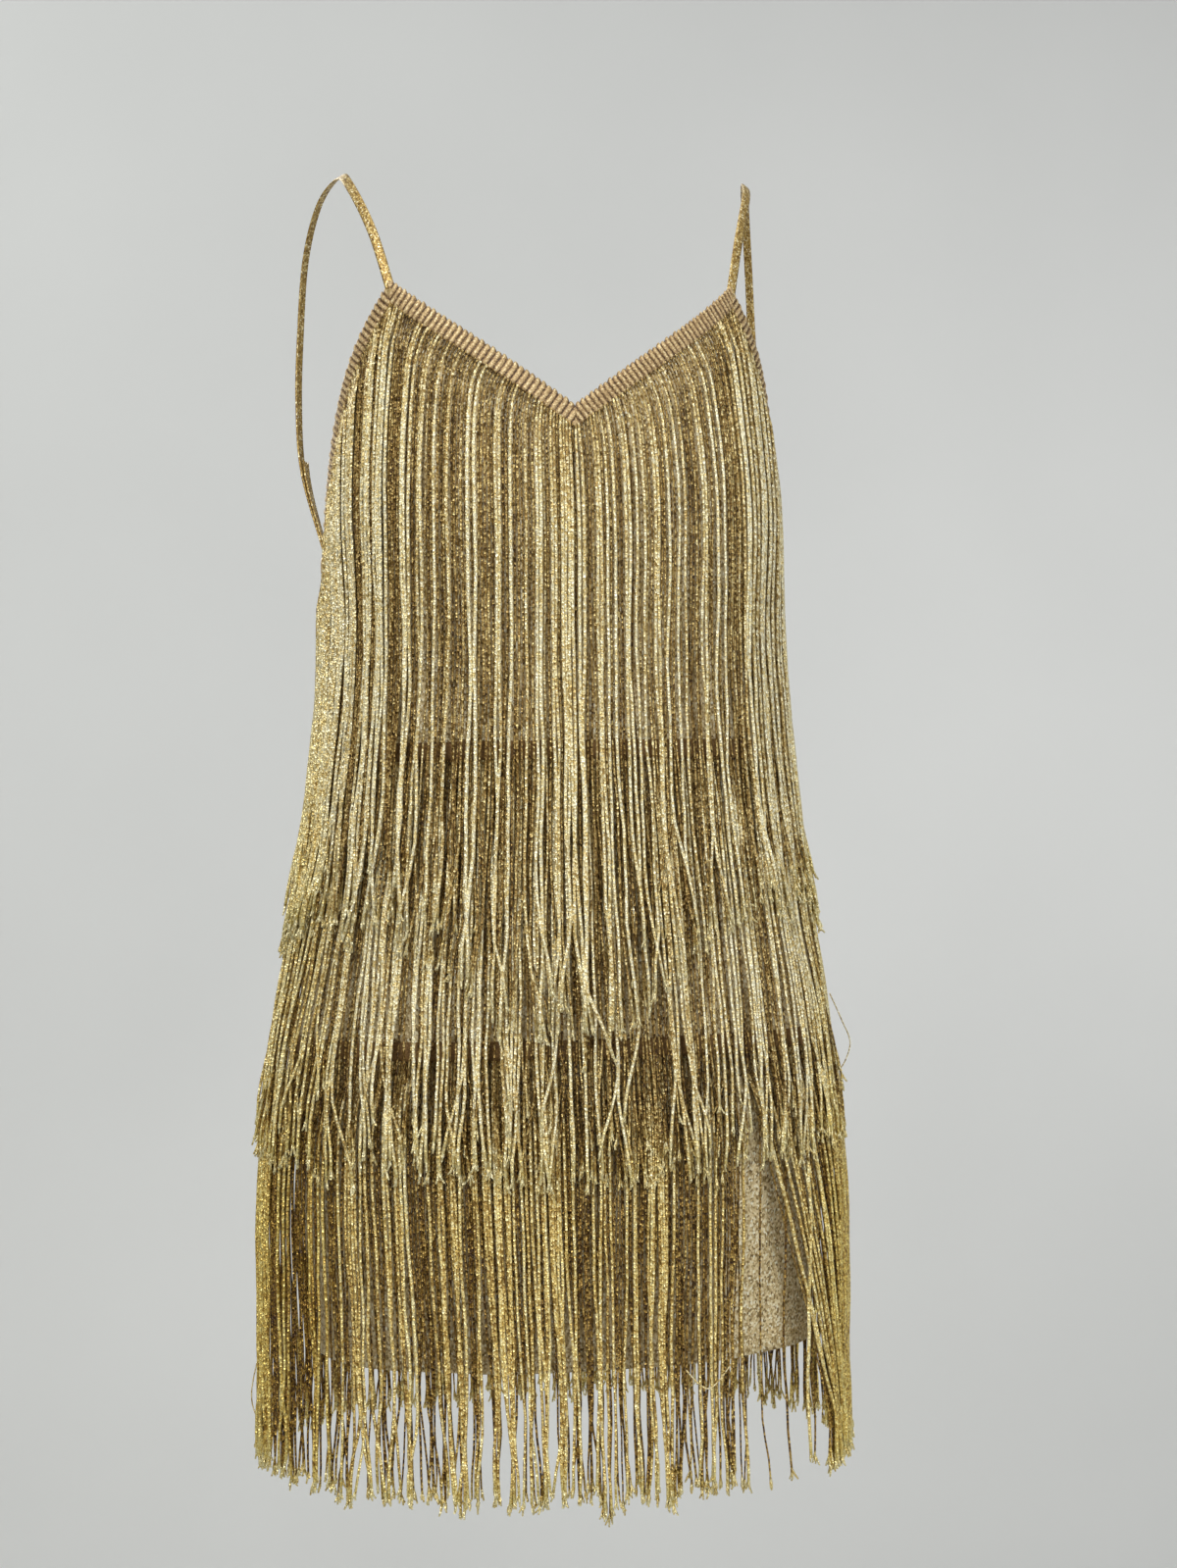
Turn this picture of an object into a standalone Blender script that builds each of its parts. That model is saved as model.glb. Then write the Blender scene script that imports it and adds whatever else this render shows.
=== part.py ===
"""Mini dress with a V neck, ribbed tape edges, flat straps and three tiers of long fringe.

Metres, +Z up. The wearer faces -Y, so their left side is at +X. The origin is between the tops
of the two straps, where the shoulders carry the dress. Turn is the angle round the body in
degrees: 0 at the front centre, 90 at the left side seam, 180 at the back centre.
"""

import math
from collections import namedtuple

import bmesh
import bpy
from mathutils import Vector

for old in list(bpy.data.objects):
    bpy.data.objects.remove(old, do_unlink=True)

# Sections of the cloth's outer face, downwards from the shoulders
Section = namedtuple("Section", "height half_width front back")
BODY = (
    Section(-0.060, 0.1355, 0.096, 0.078),
    Section(-0.088, 0.1385, 0.100, 0.082),
    Section(-0.130, 0.1445, 0.105, 0.087),
    Section(-0.180, 0.1485, 0.110, 0.092),
    Section(-0.225, 0.1505, 0.115, 0.096),
    Section(-0.262, 0.1510, 0.116, 0.097),
    Section(-0.330, 0.1520, 0.1115, 0.0960),
    Section(-0.400, 0.1575, 0.1090, 0.0990),
    Section(-0.470, 0.1645, 0.1105, 0.1070),
    Section(-0.540, 0.1735, 0.114, 0.118),
    Section(-0.610, 0.1800, 0.118, 0.124),
    Section(-0.680, 0.1780, 0.120, 0.122),
    Section(-0.785, 0.1670, 0.119, 0.116),
    Section(-0.880, 0.1650, 0.119, 0.115),
)
SQUARENESS = 0.046  # how far a section swells past an ellipse at its four corners
EVEN_STEPS = 4.6  # degrees, which spaces equal turns evenly along a section
SIDE = 90

# Places where the cloth stands out: the bust's fullness and the corners that the straps pull up
Swell = namedtuple("Swell", "turn height across above below out")
SWELLS = (
    Swell(33, -0.225, 20, 0.070, 0.120, 0.007),
    Swell(-33, -0.225, 20, 0.070, 0.120, 0.007),
    Swell(103, -0.257, 15, 0.070, 0.080, 0.003),
    Swell(-103, -0.257, 15, 0.070, 0.080, 0.004),
)

# The largest soft folds of the cloth. Each is a trough that runs down from top to bottom
Fold = namedtuple("Fold", "turn across depth top bottom")
FOLDS = (
    Fold(-66, 10, 0.0040, -0.230, -0.520),
    Fold(-10, 11, 0.0030, -0.240, -0.470),
    Fold(16, 10, 0.0025, -0.250, -0.430),
    Fold(62, 11, 0.0040, -0.235, -0.500),
    Fold(-40, 10, 0.0030, -0.620, -0.800),
    Fold(4, 11, 0.0025, -0.640, -0.800),
    Fold(47, 10, 0.0030, -0.610, -0.800),
    Fold(118, 12, 0.0040, -0.290, -0.500),
    Fold(171, 13, 0.0045, -0.300, -0.560),
    Fold(-126, 12, 0.0035, -0.290, -0.480),
    Fold(142, 11, 0.0030, -0.640, -0.800),
    Fold(-150, 12, 0.0035, -0.630, -0.800),
)
FOLD_FADE = 0.07

# The dress's edges
PEAK_TURN = 55
PEAK = -0.088
V_POINT = -0.175
UNDERARM = -0.262
BACK_TOP = -0.257
BACK_RISE_TURN = 14  # the back edge rises from the underarm over this many degrees
ARMHOLE_CURVE = 1.75
HEM = -0.785

# Cloth and tape
CLOTH = 0.0015
GAP = 0.0003
BAND_STAND = 0.0006  # the tape and the fringe's headings lie this far off the cloth
TAPE_WIDTH = 0.0115
TAPE = 0.0012
TAPE_PROUD = 0.0015  # the tape stands this far above the cloth's raw edge
RIB = 0.0008
NECK_RIBS = 26
ARMHOLE_RIBS = 26
BACK_RIBS = 36

# Fringe: a narrow heading strip with locks that hang from it
HEADING = 0.0050
HEADING_THICK = 0.0020
LOCK_WIDTH = 0.0066
LOCK_THICK = 0.0028
NECK_STEPS = 28  # steps of a heading. A lock hangs from every other one
ARMHOLE_STEPS = 36
BACK_STEPS = 54
LOCK_PITCH = 4.2  # least degrees between the locks of the top tier
LEAST_FALL = 0.30  # share of the armhole's height below which its edge is too steep to carry a lock
TIER_HEADING = 0.0120
WAIST_HEADING = -0.386
HIP_HEADING = -0.576
WAIST_LOCKS = 44
HIP_LOCKS = 48
# Heights that the panels and the locks share, so that one never cuts across another between them
LEVELS = (-0.15, -0.20, -0.25, -0.30, -0.345, -0.392, -0.46, -0.52, -0.576, -0.63, -0.68, -0.73, HEM)
COLUMN_TURN = 4.9  # a panel has a column at least this often
COLUMN_FALL = 0.033
PANEL_START = -0.30  # above this level a panel's rows follow its own top edge
FRONT_ROWS = 5  # rows of the front panel above that level
BACK_ROWS = 3

# How far a tier's inner face stands from the cloth, at the front and back centre and at the sides
Hang = namedtuple("Hang", "height front side")
TOP_TIER = (
    Hang(-0.060, 0.0014, 0.0010),
    Hang(-0.180, 0.0022, 0.0016),
    Hang(-0.260, 0.0028, 0.0020),
    Hang(-0.340, 0.0034, 0.0030),
    Hang(-0.386, 0.0042, 0.0042),
    Hang(-0.460, 0.0056, 0.0062),
    Hang(-0.520, 0.0070, 0.0082),
    Hang(-0.600, 0.0088, 0.0120),
)
WAIST_TIER = (
    Hang(-0.398, 0.0007, 0.0007),
    Hang(-0.460, 0.0018, 0.0022),
    Hang(-0.520, 0.0032, 0.0040),
    Hang(-0.576, 0.0044, 0.0056),
    Hang(-0.630, 0.0062, 0.0116),
    Hang(-0.680, 0.0080, 0.0170),
)
HIP_TIER = (
    Hang(-0.588, 0.0007, 0.0007),
    Hang(-0.630, 0.0020, 0.0070),
    Hang(-0.680, 0.0036, 0.0130),
    Hang(-0.730, 0.0054, 0.0205),
    Hang(-0.785, 0.0080, 0.0295),
    Hang(-0.880, 0.0094, 0.0320),
)

# Where the locks' tips hang, from the front centre round to the sides and the back
Tip = namedtuple("Tip", "turn height")
TOP_TIPS = (
    Tip(0, -0.572),
    Tip(30, -0.555),
    Tip(50, -0.530),
    Tip(62, -0.515),
    Tip(90, -0.520),
    Tip(180, -0.560),
)
WAIST_TIPS = (Tip(0, -0.668), Tip(60, -0.664), Tip(90, -0.655), Tip(180, -0.660))
HIP_TIPS = (Tip(0, -0.872), Tip(60, -0.870), Tip(90, -0.862), Tip(180, -0.858))
TIP_UNEVEN = 0.007
LEAST_STEP = 0.012  # a lock skips a level that lies nearer than this to its root or tip
SWAY = 0.35  # degrees that a lock's tip drifts to one side
LOCK_WAIST = 0.82  # a lock's width at its middle, as a share of its width at the root
LOCK_TIP = 0.55
PART_TURN = 44  # where the lowest tier is parted at the left front
PART_SPREAD = 16
PART_SWEEP = 4.5

# Straps: flat ribbon over the shoulders
STRAP_WIDTH = 0.0060
STRAP = 0.0012
STRAP_STEPS = 30
ROUTE_STEPS = 12  # steps from one place of the route to the next, before they are evened out
STRAP_TILT = 0.35  # how far up the strap looks at shoulder height, as a share of how far it looks out
STRAP_TILT_FALL = 0.10  # the tilt is gone this far down
STRAP_START_OUT = 0.0004  # the strap starts this far outside the cloth
STRAP_START_UP = 0.0027  # and this far above its peak, just clear of the tape
STRAP_END_TURN = 102
STRAP_END_GAP = 0.0019
SLIP = 0.008  # the right strap lies this much further out behind
SLIP_BY = 0.05  # which it does from this far back
Place = namedtuple("Place", "out_x back_y height")
STRAP_ROUTE = (
    Place(0.1225, -0.0500, -0.0500),
    Place(0.1345, -0.0230, -0.0140),
    Place(0.1400, 0.0050, -0.0006),
    Place(0.1465, 0.0320, -0.0120),
    Place(0.1530, 0.0540, -0.0450),
    Place(0.1570, 0.0640, -0.0950),
    Place(0.1590, 0.0620, -0.1450),
    Place(0.1570, 0.0500, -0.1950),
)
TAIL_LENGTH = 0.075
TAIL_DRIFT = 0.0025

# Looks, with the colours as linear RGB
SHARP_ANGLE = 35  # degrees, past which two faces meet at a crisp edge
CLOTH_COLOUR = (0.38, 0.27, 0.13, 1)
TAPE_COLOUR = (0.36, 0.23, 0.10, 1)
FRINGE_COLOUR = (0.58, 0.42, 0.16, 1)
STRAP_COLOUR = (0.45, 0.32, 0.12, 1)


def read_table(rows, height, column):
    """The column's value at a height, on a smooth curve through the table's rows."""
    heights = [row.height for row in rows]
    values = [getattr(row, column) for row in rows]
    if height >= heights[0]:
        return values[0]
    if height <= heights[-1]:
        return values[-1]
    i = next(k for k in range(len(rows) - 1) if heights[k + 1] <= height)

    def slope(k):
        low, high = max(k - 1, 0), min(k + 1, len(rows) - 1)
        return (values[high] - values[low]) / (heights[high] - heights[low])

    span = heights[i + 1] - heights[i]
    s = (height - heights[i]) / span
    value = values[i] * (1 + 2 * s) * (1 - s) ** 2 + values[i + 1] * s * s * (3 - 2 * s)
    return value + span * (slope(i) * s * (1 - s) ** 2 - slope(i + 1) * s * s * (1 - s))


def read_turn(rows, turn):
    """The height at a turn, on straight lines between a table's rows. Both sides are alike."""
    away = abs(short_turn(turn))
    for row, following in zip(rows, rows[1:]):
        if away <= following.turn:
            share = (away - row.turn) / (following.turn - row.turn)
            return row.height + (following.height - row.height) * share
    return rows[-1].height


def short_turn(turn):
    """The same turn, between -180 and 180."""
    return (turn + 180) % 360 - 180


def bell(distance, width):
    return math.exp(-((distance / width) ** 2))


def ramp(value, low, high):
    share = min(max((value - low) / (high - low), 0), 1)
    return share * share * (3 - 2 * share)


def standing_out(turn, height):
    """What the swells add to the section and the folds take from it."""
    out = 0
    for swell in SWELLS:
        reach = swell.above if height > swell.height else swell.below
        across = bell(short_turn(turn - swell.turn), swell.across)
        out += swell.out * across * bell(height - swell.height, reach)
    for fold in FOLDS:
        across = bell(short_turn(turn - fold.turn), fold.across)
        above_foot = ramp(height, fold.bottom - FOLD_FADE, fold.bottom)
        below_head = 1 - ramp(height, fold.top - FOLD_FADE, fold.top)
        out -= fold.depth * across * above_foot * below_head
    return out


def ring_point(turn, height):
    angle = math.radians(turn - EVEN_STEPS * math.sin(math.radians(2 * turn)))
    swell = 1 + SQUARENESS * math.sin(2 * angle) ** 2
    depth = read_table(BODY, height, "front" if math.cos(angle) > 0 else "back")
    half_width = read_table(BODY, height, "half_width")
    return Vector((half_width * math.sin(angle) * swell, -depth * math.cos(angle) * swell, height))


def directions(turn, height):
    """Round the body and outwards, both level, and the metres that one degree covers."""
    step = ring_point(turn + 0.5, height) - ring_point(turn - 0.5, height)
    along = step.normalized()
    return along, Vector((along.y, -along.x, 0)), step.length


def cloth_point(turn, height, out=0.0):
    """A point at this distance outside the cloth's outer face."""
    outward = directions(turn, height)[1]
    return ring_point(turn, height) + outward * (out + standing_out(turn, height))


def top_edge():
    """The cloth's top edge all round, as turn and height: up the right armhole, along the V, down the left
    one and back across. Each rib of the tape takes two steps."""
    left = []
    for i in range(2 * ARMHOLE_RIBS + 1):
        share = i / (2 * ARMHOLE_RIBS)
        turn = SIDE - (SIDE - PEAK_TURN) * share**ARMHOLE_CURVE
        left.append((turn, UNDERARM + (PEAK - UNDERARM) * share))
    for i in range(1, 2 * NECK_RIBS + 1):
        share = i / (2 * NECK_RIBS)
        left.append((PEAK_TURN * (1 - share), PEAK + (V_POINT - PEAK) * share))
    right = [(-turn, height) for turn, height in left]
    back = []
    for i in range(1, 2 * BACK_RIBS):
        turn = SIDE + 180 * i / (2 * BACK_RIBS)
        near_side = max(0, 1 - min(turn - SIDE, 270 - turn) / BACK_RISE_TURN)
        back.append((turn, BACK_TOP + (UNDERARM - BACK_TOP) * near_side**2))
    return right + left[-2::-1] + back


def inset_station(edge, i, width):
    """Station i of the closed edge moved into the cloth by a width, on the mitre of the steps beside it.
    Also the move itself and the edge's two directions there."""
    turn, height = edge[i % len(edge)]
    here = cloth_point(turn, height)
    before = (here - cloth_point(*edge[(i - 1) % len(edge)])).normalized()
    after = (cloth_point(*edge[(i + 1) % len(edge)]) - here).normalized()
    along, outward, per_degree = directions(turn, height)
    sides = [tangent.cross(outward).normalized() for tangent in (before, after)]
    middle = (sides[0] + sides[1]).normalized()
    move = middle * width / max(middle.dot(sides[0]), 0.5)
    return (turn + move.dot(along) / per_degree, height + move.z), move, before, after


def even_path(stations, count):
    """The same path with this many stations, evenly spaced."""
    lengths = [0.0]
    for a, b in zip(stations, stations[1:]):
        lengths.append(lengths[-1] + (cloth_point(*b) - cloth_point(*a)).length)
    path, k = [], 0
    for i in range(count):
        want = lengths[-1] * i / (count - 1)
        while k < len(lengths) - 2 and lengths[k + 1] < want:
            k += 1
        share = (want - lengths[k]) / (lengths[k + 1] - lengths[k])
        path.append(tuple(a + (b - a) * share for a, b in zip(stations[k], stations[k + 1])))
    return path


def inset(edge, first, last, width, steps):
    """Stations first to last of the closed edge moved into the cloth by a width, as a path of even steps.
    The ends are mitred and drawn in by a gap, and stations that would cross a mitre are left out."""
    lap = 360 if last >= len(edge) else 0
    start, start_move, _, start_after = inset_station(edge, first, width)
    end, end_move, end_before, _ = inset_station(edge, last, width)
    start_slide, end_slide = start_move.dot(start_after), -end_move.dot(end_before)
    first_point, last_point = cloth_point(*edge[first]), cloth_point(*edge[last % len(edge)])
    stations = [start]
    for i in range(first + 1, last):
        here = cloth_point(*edge[i])
        clear_of_start = (here - first_point).length > start_slide + GAP
        clear_of_end = (here - last_point).length > end_slide + GAP
        if clear_of_start and clear_of_end:
            stations.append(inset_station(edge, i, width)[0])
    stations.append((end[0] + lap, end[1]))
    path = even_path(stations, steps + 1)
    for tip, near in ((0, 1), (-1, -2)):
        share = GAP / (cloth_point(*path[tip]) - cloth_point(*path[near])).length
        path[tip] = tuple(a + (b - a) * share for a, b in zip(path[tip], path[near]))
    return path


def finish(name, bm, material):
    """Makes the mesh an object, shaded smooth across shallow angles."""
    mesh = bpy.data.meshes.new(name)
    bm.to_mesh(mesh)
    bm.free()
    mesh.shade_smooth()
    mesh.set_sharp_from_angle(angle=math.radians(SHARP_ANGLE))
    mesh.materials.append(material)
    obj = bpy.data.objects.new(name, mesh)
    bpy.context.scene.collection.objects.link(obj)
    return obj


def make_material(name, colour, metallic, roughness):
    material = bpy.data.materials.new(name)
    material.use_nodes = True
    shader = material.node_tree.nodes["Principled BSDF"]
    shader.inputs["Base Color"].default_value = colour
    shader.inputs["Metallic"].default_value = metallic
    shader.inputs["Roughness"].default_value = roughness
    return material


def solidify(obj, thickness, offset):
    wall = obj.modifiers.new("Wall", "SOLIDIFY")
    wall.thickness = thickness
    wall.offset = offset


def make_sheet(name, columns, material):
    """A sheet through columns of points, all with the same number of rows."""
    bm = bmesh.new()
    grid = [[bm.verts.new(point) for point in column] for column in columns]
    for left, right in zip(grid, grid[1:]):
        for i in range(len(left) - 1):
            bm.faces.new((left[i], left[i + 1], right[i + 1], right[i]))
    return finish(name, bm, material)


def make_bar(bm, rings, closed):
    """A four-sided bar through rings of four points. Returns its faces between the last two points."""
    loops = [[bm.verts.new(point) for point in ring] for ring in rings]
    pairs = list(zip(loops, loops[1:]))
    if closed:
        pairs.append((loops[-1], loops[0]))
    else:
        bm.faces.new(loops[0][::-1])
        bm.faces.new(loops[-1])
    under = []
    for first, second in pairs:
        for a in range(4):
            b = (a + 1) % 4
            face = bm.faces.new((first[b], second[b], second[a], first[a]))
            if a == 2:
                under.append(face)
    return under


def panel_rows(top, count):
    """Heights from the top edge down to the hem: a few even rows, then the shared levels."""
    upper = [top + (PANEL_START - top) * i / count for i in range(count)]
    return upper + [level for level in LEVELS if level <= PANEL_START]


def spaced_columns(stations):
    """The stations that a panel's columns stand at: both ends, any sharp corner, and others between."""
    picked = [stations[0]]
    for station in stations[1:-1]:
        turn, height = station
        wide = abs(turn - picked[-1][0]) > COLUMN_TURN
        tall = abs(height - picked[-1][1]) > COLUMN_FALL
        if wide or tall or abs(turn) == PEAK_TURN:
            picked.append(station)
    return picked + [stations[-1]]


def make_panel(name, stations, upper_rows, material):
    """One panel of the body, a wall whose outer face has the body's form."""
    seam = GAP / 2 / directions(SIDE, UNDERARM)[2]
    first, last = stations[0][0] + seam, stations[-1][0] - seam
    columns = []
    for turn, top in stations:
        held = min(max(turn, first), last)
        columns.append([cloth_point(held, height) for height in panel_rows(top, upper_rows)])
    solidify(make_sheet(name, columns, material), CLOTH, -1)


def four_points(high, low, inner, outer):
    """The corners of a bar between two stations: its upper edge, inner then outer, and its lower one."""
    upper = [cloth_point(*high, inner), cloth_point(*high, outer)]
    return upper + [cloth_point(*low, outer), cloth_point(*low, inner)]


def make_band(name, edge, first, last, material):
    """Ribbed tape over one stretch of the cloth's edge."""
    upper = inset(edge, first, last, -TAPE_PROUD, last - first)
    lower = inset(edge, first, last, TAPE_WIDTH - TAPE_PROUD, last - first)
    rings = []
    for i, (high, low) in enumerate(zip(upper, lower)):
        face = BAND_STAND + TAPE + (RIB if i % 2 else 0)
        rings.append(four_points(high, low, BAND_STAND, face))
    bm = bmesh.new()
    make_bar(bm, rings, closed=False)
    finish(name, bm, material)


def wander(seed):
    """A fixed number between -1 and 1 that looks random from one seed to the next."""
    return math.sin(seed * 12.9898 + 4.1) * math.cos(seed * 4.1414)


def lock_rings(root, hang, tips, sweep, seed):
    """Rings of four points down one lock, from two stations of the heading's lower edge."""
    (turn_a, height_a), (turn_b, height_b) = root
    middle, start = (turn_a + turn_b) / 2, min(height_a, height_b)
    tip = read_turn(tips, middle) + TIP_UNEVEN * wander(seed)
    heights = [level for level in LEVELS if tip + LEAST_STEP < level < start - LEAST_STEP] + [tip]
    half = LOCK_WIDTH / 2 / directions(middle, start)[2]
    for height in heights:
        share = (start - height) / (start - tip)
        upper_half, lower_half = min(share * 2, 1), max(share * 2 - 1, 0)
        shape = 1 + (LOCK_WAIST - 1) * upper_half + (LOCK_TIP - LOCK_WAIST) * lower_half
        turn = middle + (SWAY * wander(-seed) + sweep(middle)) * share**2
        beside = math.sin(math.radians(turn)) ** 2
        front, side = read_table(hang, height, "front"), read_table(hang, height, "side")
        stand = front + (side - front) * beside
        near, far = turn - half * shape, turn + half * shape
        yield [
            cloth_point(near, height, stand + LOCK_THICK),
            cloth_point(near, height, stand),
            cloth_point(far, height, stand),
            cloth_point(far, height, stand + LOCK_THICK),
        ]


def no_sweep(turn):
    return 0


def part_sweep(turn):
    return PART_SWEEP * bell(short_turn(turn - PART_TURN), PART_SPREAD)


def spaced_steps(path, pitch):
    """The steps of a path that are a pitch apart in turn, and not on the steep foot of an armhole."""
    steep = UNDERARM - TAPE_WIDTH - HEADING + (PEAK - UNDERARM) * LEAST_FALL
    steps, last = [], path[0][0] - pitch
    for i in range(1, len(path) - 2):
        turn, height = path[i]
        on_front = abs(short_turn(turn)) < SIDE
        if turn - last < pitch or (steps and i < steps[-1] + 2):
            continue
        if on_front and abs(turn) > PEAK_TURN and height < steep:
            continue
        steps.append(i)
        last = turn
    return steps


def make_fringe(name, upper, lower, lock_steps, hang, tips, sweep, material):
    """A heading strip between two paths, with a lock under each of the chosen steps. The strip of a tier
    that goes all round is closed."""
    face = BAND_STAND + HEADING_THICK
    rings = [four_points(high, low, BAND_STAND, face) for high, low in zip(upper, lower)]
    bm = bmesh.new()
    under = make_bar(bm, rings, closed="tier" in name)
    for i in lock_steps:
        face = under[i]
        for ring in lock_rings((lower[i], lower[i + 1]), hang, tips, sweep, i + len(name)):
            grown = bmesh.ops.extrude_discrete_faces(bm, faces=[face])["faces"][0]
            # The new end's corners may start anywhere, so each goes to the point of the ring that lies
            # on its own side of the middle, which keeps the lock from twisting
            step = sum(ring, Vector()) / 4 - grown.calc_center_median()
            places = ring[:]
            for corner in grown.verts:
                place = min(places, key=lambda point: (point - step - corner.co).length)
                places.remove(place)
                corner.co = place
            face = grown
    finish(name, bm, material)


def smooth_route(points, steps):
    """Points at even steps along a smooth curve through the given ones."""
    ends = [2 * points[0] - points[1]] + points + [2 * points[-1] - points[-2]]
    curve = []
    for i in range(1, len(ends) - 2):
        a, b, c, d = ends[i - 1 : i + 3]
        for k in range(ROUTE_STEPS):
            t = k / ROUTE_STEPS
            squared = (2 * a - 5 * b + 4 * c - d) * t**2
            cubed = (3 * b - a - 3 * c + d) * t**3
            curve.append(0.5 * (2 * b + (c - a) * t + squared + cubed))
    curve.append(points[-1])
    lengths = [0.0]
    for a, b in zip(curve, curve[1:]):
        lengths.append(lengths[-1] + (b - a).length)
    even = []
    for k in range(steps + 1):
        want = lengths[-1] * k / steps
        i = min(max(next((j for j, length in enumerate(lengths) if length >= want), 1), 1), len(curve) - 1)
        share = (want - lengths[i - 1]) / (lengths[i] - lengths[i - 1])
        even.append(curve[i - 1].lerp(curve[i], share))
    return even


def ribbon_columns(route, lift, drift):
    """The two edges of a flat ribbon that looks away from the body's middle, lifted off its route and
    drifting to one side towards its end."""
    edges = ([], [])
    for i, point in enumerate(route):
        tangent = (route[min(i + 1, len(route) - 1)] - route[max(i - 1, 0)]).normalized()
        tilt = STRAP_TILT * max(0, 1 + point.z / STRAP_TILT_FALL)
        away = Vector((point.x, point.y, tilt * abs(point.x)))
        across = tangent.cross(away).normalized()
        face = across.cross(tangent).normalized()
        centre = point + face * lift + across * drift * (i / len(route)) ** 2
        for edge, side in zip(edges, (-1, 1)):
            edge.append(centre + across * side * STRAP_WIDTH / 2)
    return edges


def make_strap(side, material):
    """The strap from the peak to the back edge, and its end folded back up over it."""
    sign = 1 if side == "left" else -1
    slip = 0 if side == "left" else SLIP
    peak = cloth_point(sign * PEAK_TURN, PEAK, STRAP_START_OUT)
    peak.z += STRAP_START_UP
    places = [peak]
    for place in STRAP_ROUTE:
        behind = ramp(place.back_y, 0, SLIP_BY)
        places.append(Vector((sign * (place.out_x + slip * behind), place.back_y, place.height)))
    places.append(cloth_point(sign * STRAP_END_TURN, BACK_TOP + TAPE_PROUD + STRAP_END_GAP, BAND_STAND))
    route = smooth_route(places, STRAP_STEPS)
    strap = make_sheet(f"strap_{side}", ribbon_columns(route, 0, 0), material)
    solidify(strap, STRAP, 0)
    upwards = route[::-1]
    length, count = 0, 1
    while length < TAIL_LENGTH:
        length += (upwards[count] - upwards[count - 1]).length
        count += 1
    edges = ribbon_columns(upwards[:count], STRAP + GAP, sign * TAIL_DRIFT)
    solidify(make_sheet(f"strap_tail_{side}", edges, material), STRAP, 0)


def build():
    cloth = make_material("glitter_knit", CLOTH_COLOUR, 0.35, 0.55)
    tape = make_material("ribbed_tape", TAPE_COLOUR, 0.2, 0.6)
    fringe = make_material("metallic_fringe", FRINGE_COLOUR, 0.7, 0.38)
    ribbon = make_material("strap_ribbon", STRAP_COLOUR, 0.5, 0.45)

    edge = top_edge()
    peak_right = 2 * ARMHOLE_RIBS
    v_point = peak_right + 2 * NECK_RIBS
    peak_left = v_point + 2 * NECK_RIBS
    side_left = peak_left + 2 * ARMHOLE_RIBS
    side_right = len(edge)

    front = spaced_columns(edge[: v_point + 1])
    front += [(-turn, height) for turn, height in front[-2::-1]]
    back = spaced_columns(edge[side_left:] + [(270, edge[0][1])])
    make_panel("front_panel", front, FRONT_ROWS, cloth)
    make_panel("back_panel", back, BACK_ROWS, cloth)

    stretches = {
        "armhole_band_right": (0, peak_right),
        "neck_band_right": (peak_right, v_point),
        "neck_band_left": (v_point, peak_left),
        "armhole_band_left": (peak_left, side_left),
        "back_band": (side_left, side_right),
    }
    for name, (first, last) in stretches.items():
        make_band(name, edge, first, last, tape)

    below_tape = TAPE_WIDTH - TAPE_PROUD + GAP
    for name, (first, last) in stretches.items():
        steps = {"neck": NECK_STEPS, "armhole": ARMHOLE_STEPS, "back": BACK_STEPS}[name.split("_")[0]]
        high = inset(edge, first, last, below_tape, steps)
        low = inset(edge, first, last, below_tape + HEADING, steps)
        roots = spaced_steps(low, LOCK_PITCH)
        fringe_name = name.replace("band", "fringe")
        make_fringe(fringe_name, high, low, roots, TOP_TIER, TOP_TIPS, no_sweep, fringe)

    tiers = (
        ("waist_tier_fringe", WAIST_HEADING, WAIST_LOCKS, WAIST_TIER, WAIST_TIPS, no_sweep),
        ("hip_tier_fringe", HIP_HEADING, HIP_LOCKS, HIP_TIER, HIP_TIPS, part_sweep),
    )
    for name, top, locks, hang, tips, sweep in tiers:
        turns = [360 * i / (2 * locks) - SIDE for i in range(2 * locks)]
        high = [(turn, top) for turn in turns]
        low = [(turn, top - TIER_HEADING) for turn in turns]
        make_fringe(name, high, low, range(0, 2 * locks, 2), hang, tips, sweep, fringe)

    for side in ("right", "left"):
        make_strap(side, ribbon)


build()
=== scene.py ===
"""Fringed mini dress in gold: glitter knit, ribbed tape, three tiers of long metallic fringe.

Metres, +Z up. The wearer faces -Y, so their left side is at +X. Turn is the angle round the body
in degrees: 0 at the front centre, 90 at the left side seam, 180 at the back centre.
"""

import math

import bmesh
import bpy
import numpy as np
from mathutils import Matrix, Quaternion, Vector


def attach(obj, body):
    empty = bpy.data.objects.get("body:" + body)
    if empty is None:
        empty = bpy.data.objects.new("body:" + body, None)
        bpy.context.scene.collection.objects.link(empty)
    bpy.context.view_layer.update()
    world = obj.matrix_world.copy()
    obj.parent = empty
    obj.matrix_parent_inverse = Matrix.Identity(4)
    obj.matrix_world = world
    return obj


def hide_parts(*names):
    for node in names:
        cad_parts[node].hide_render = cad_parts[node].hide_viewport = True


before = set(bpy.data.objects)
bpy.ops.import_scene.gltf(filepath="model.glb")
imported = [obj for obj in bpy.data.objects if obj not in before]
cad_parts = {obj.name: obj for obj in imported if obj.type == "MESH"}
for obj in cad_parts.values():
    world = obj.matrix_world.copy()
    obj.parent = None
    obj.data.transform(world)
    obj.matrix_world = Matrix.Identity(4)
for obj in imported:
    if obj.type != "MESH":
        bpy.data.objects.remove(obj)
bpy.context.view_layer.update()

# The room: a pale grey wall well behind, a pale floor below, and large soft lights all round. The
# camera stands at the height of the waist, a little to the wearer's right, and looks slightly up.
WALL = (0.0, 3.20, 0.10)
FLOOR_HEIGHT = -2.00
ROOM_SIZE = 12.0


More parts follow.
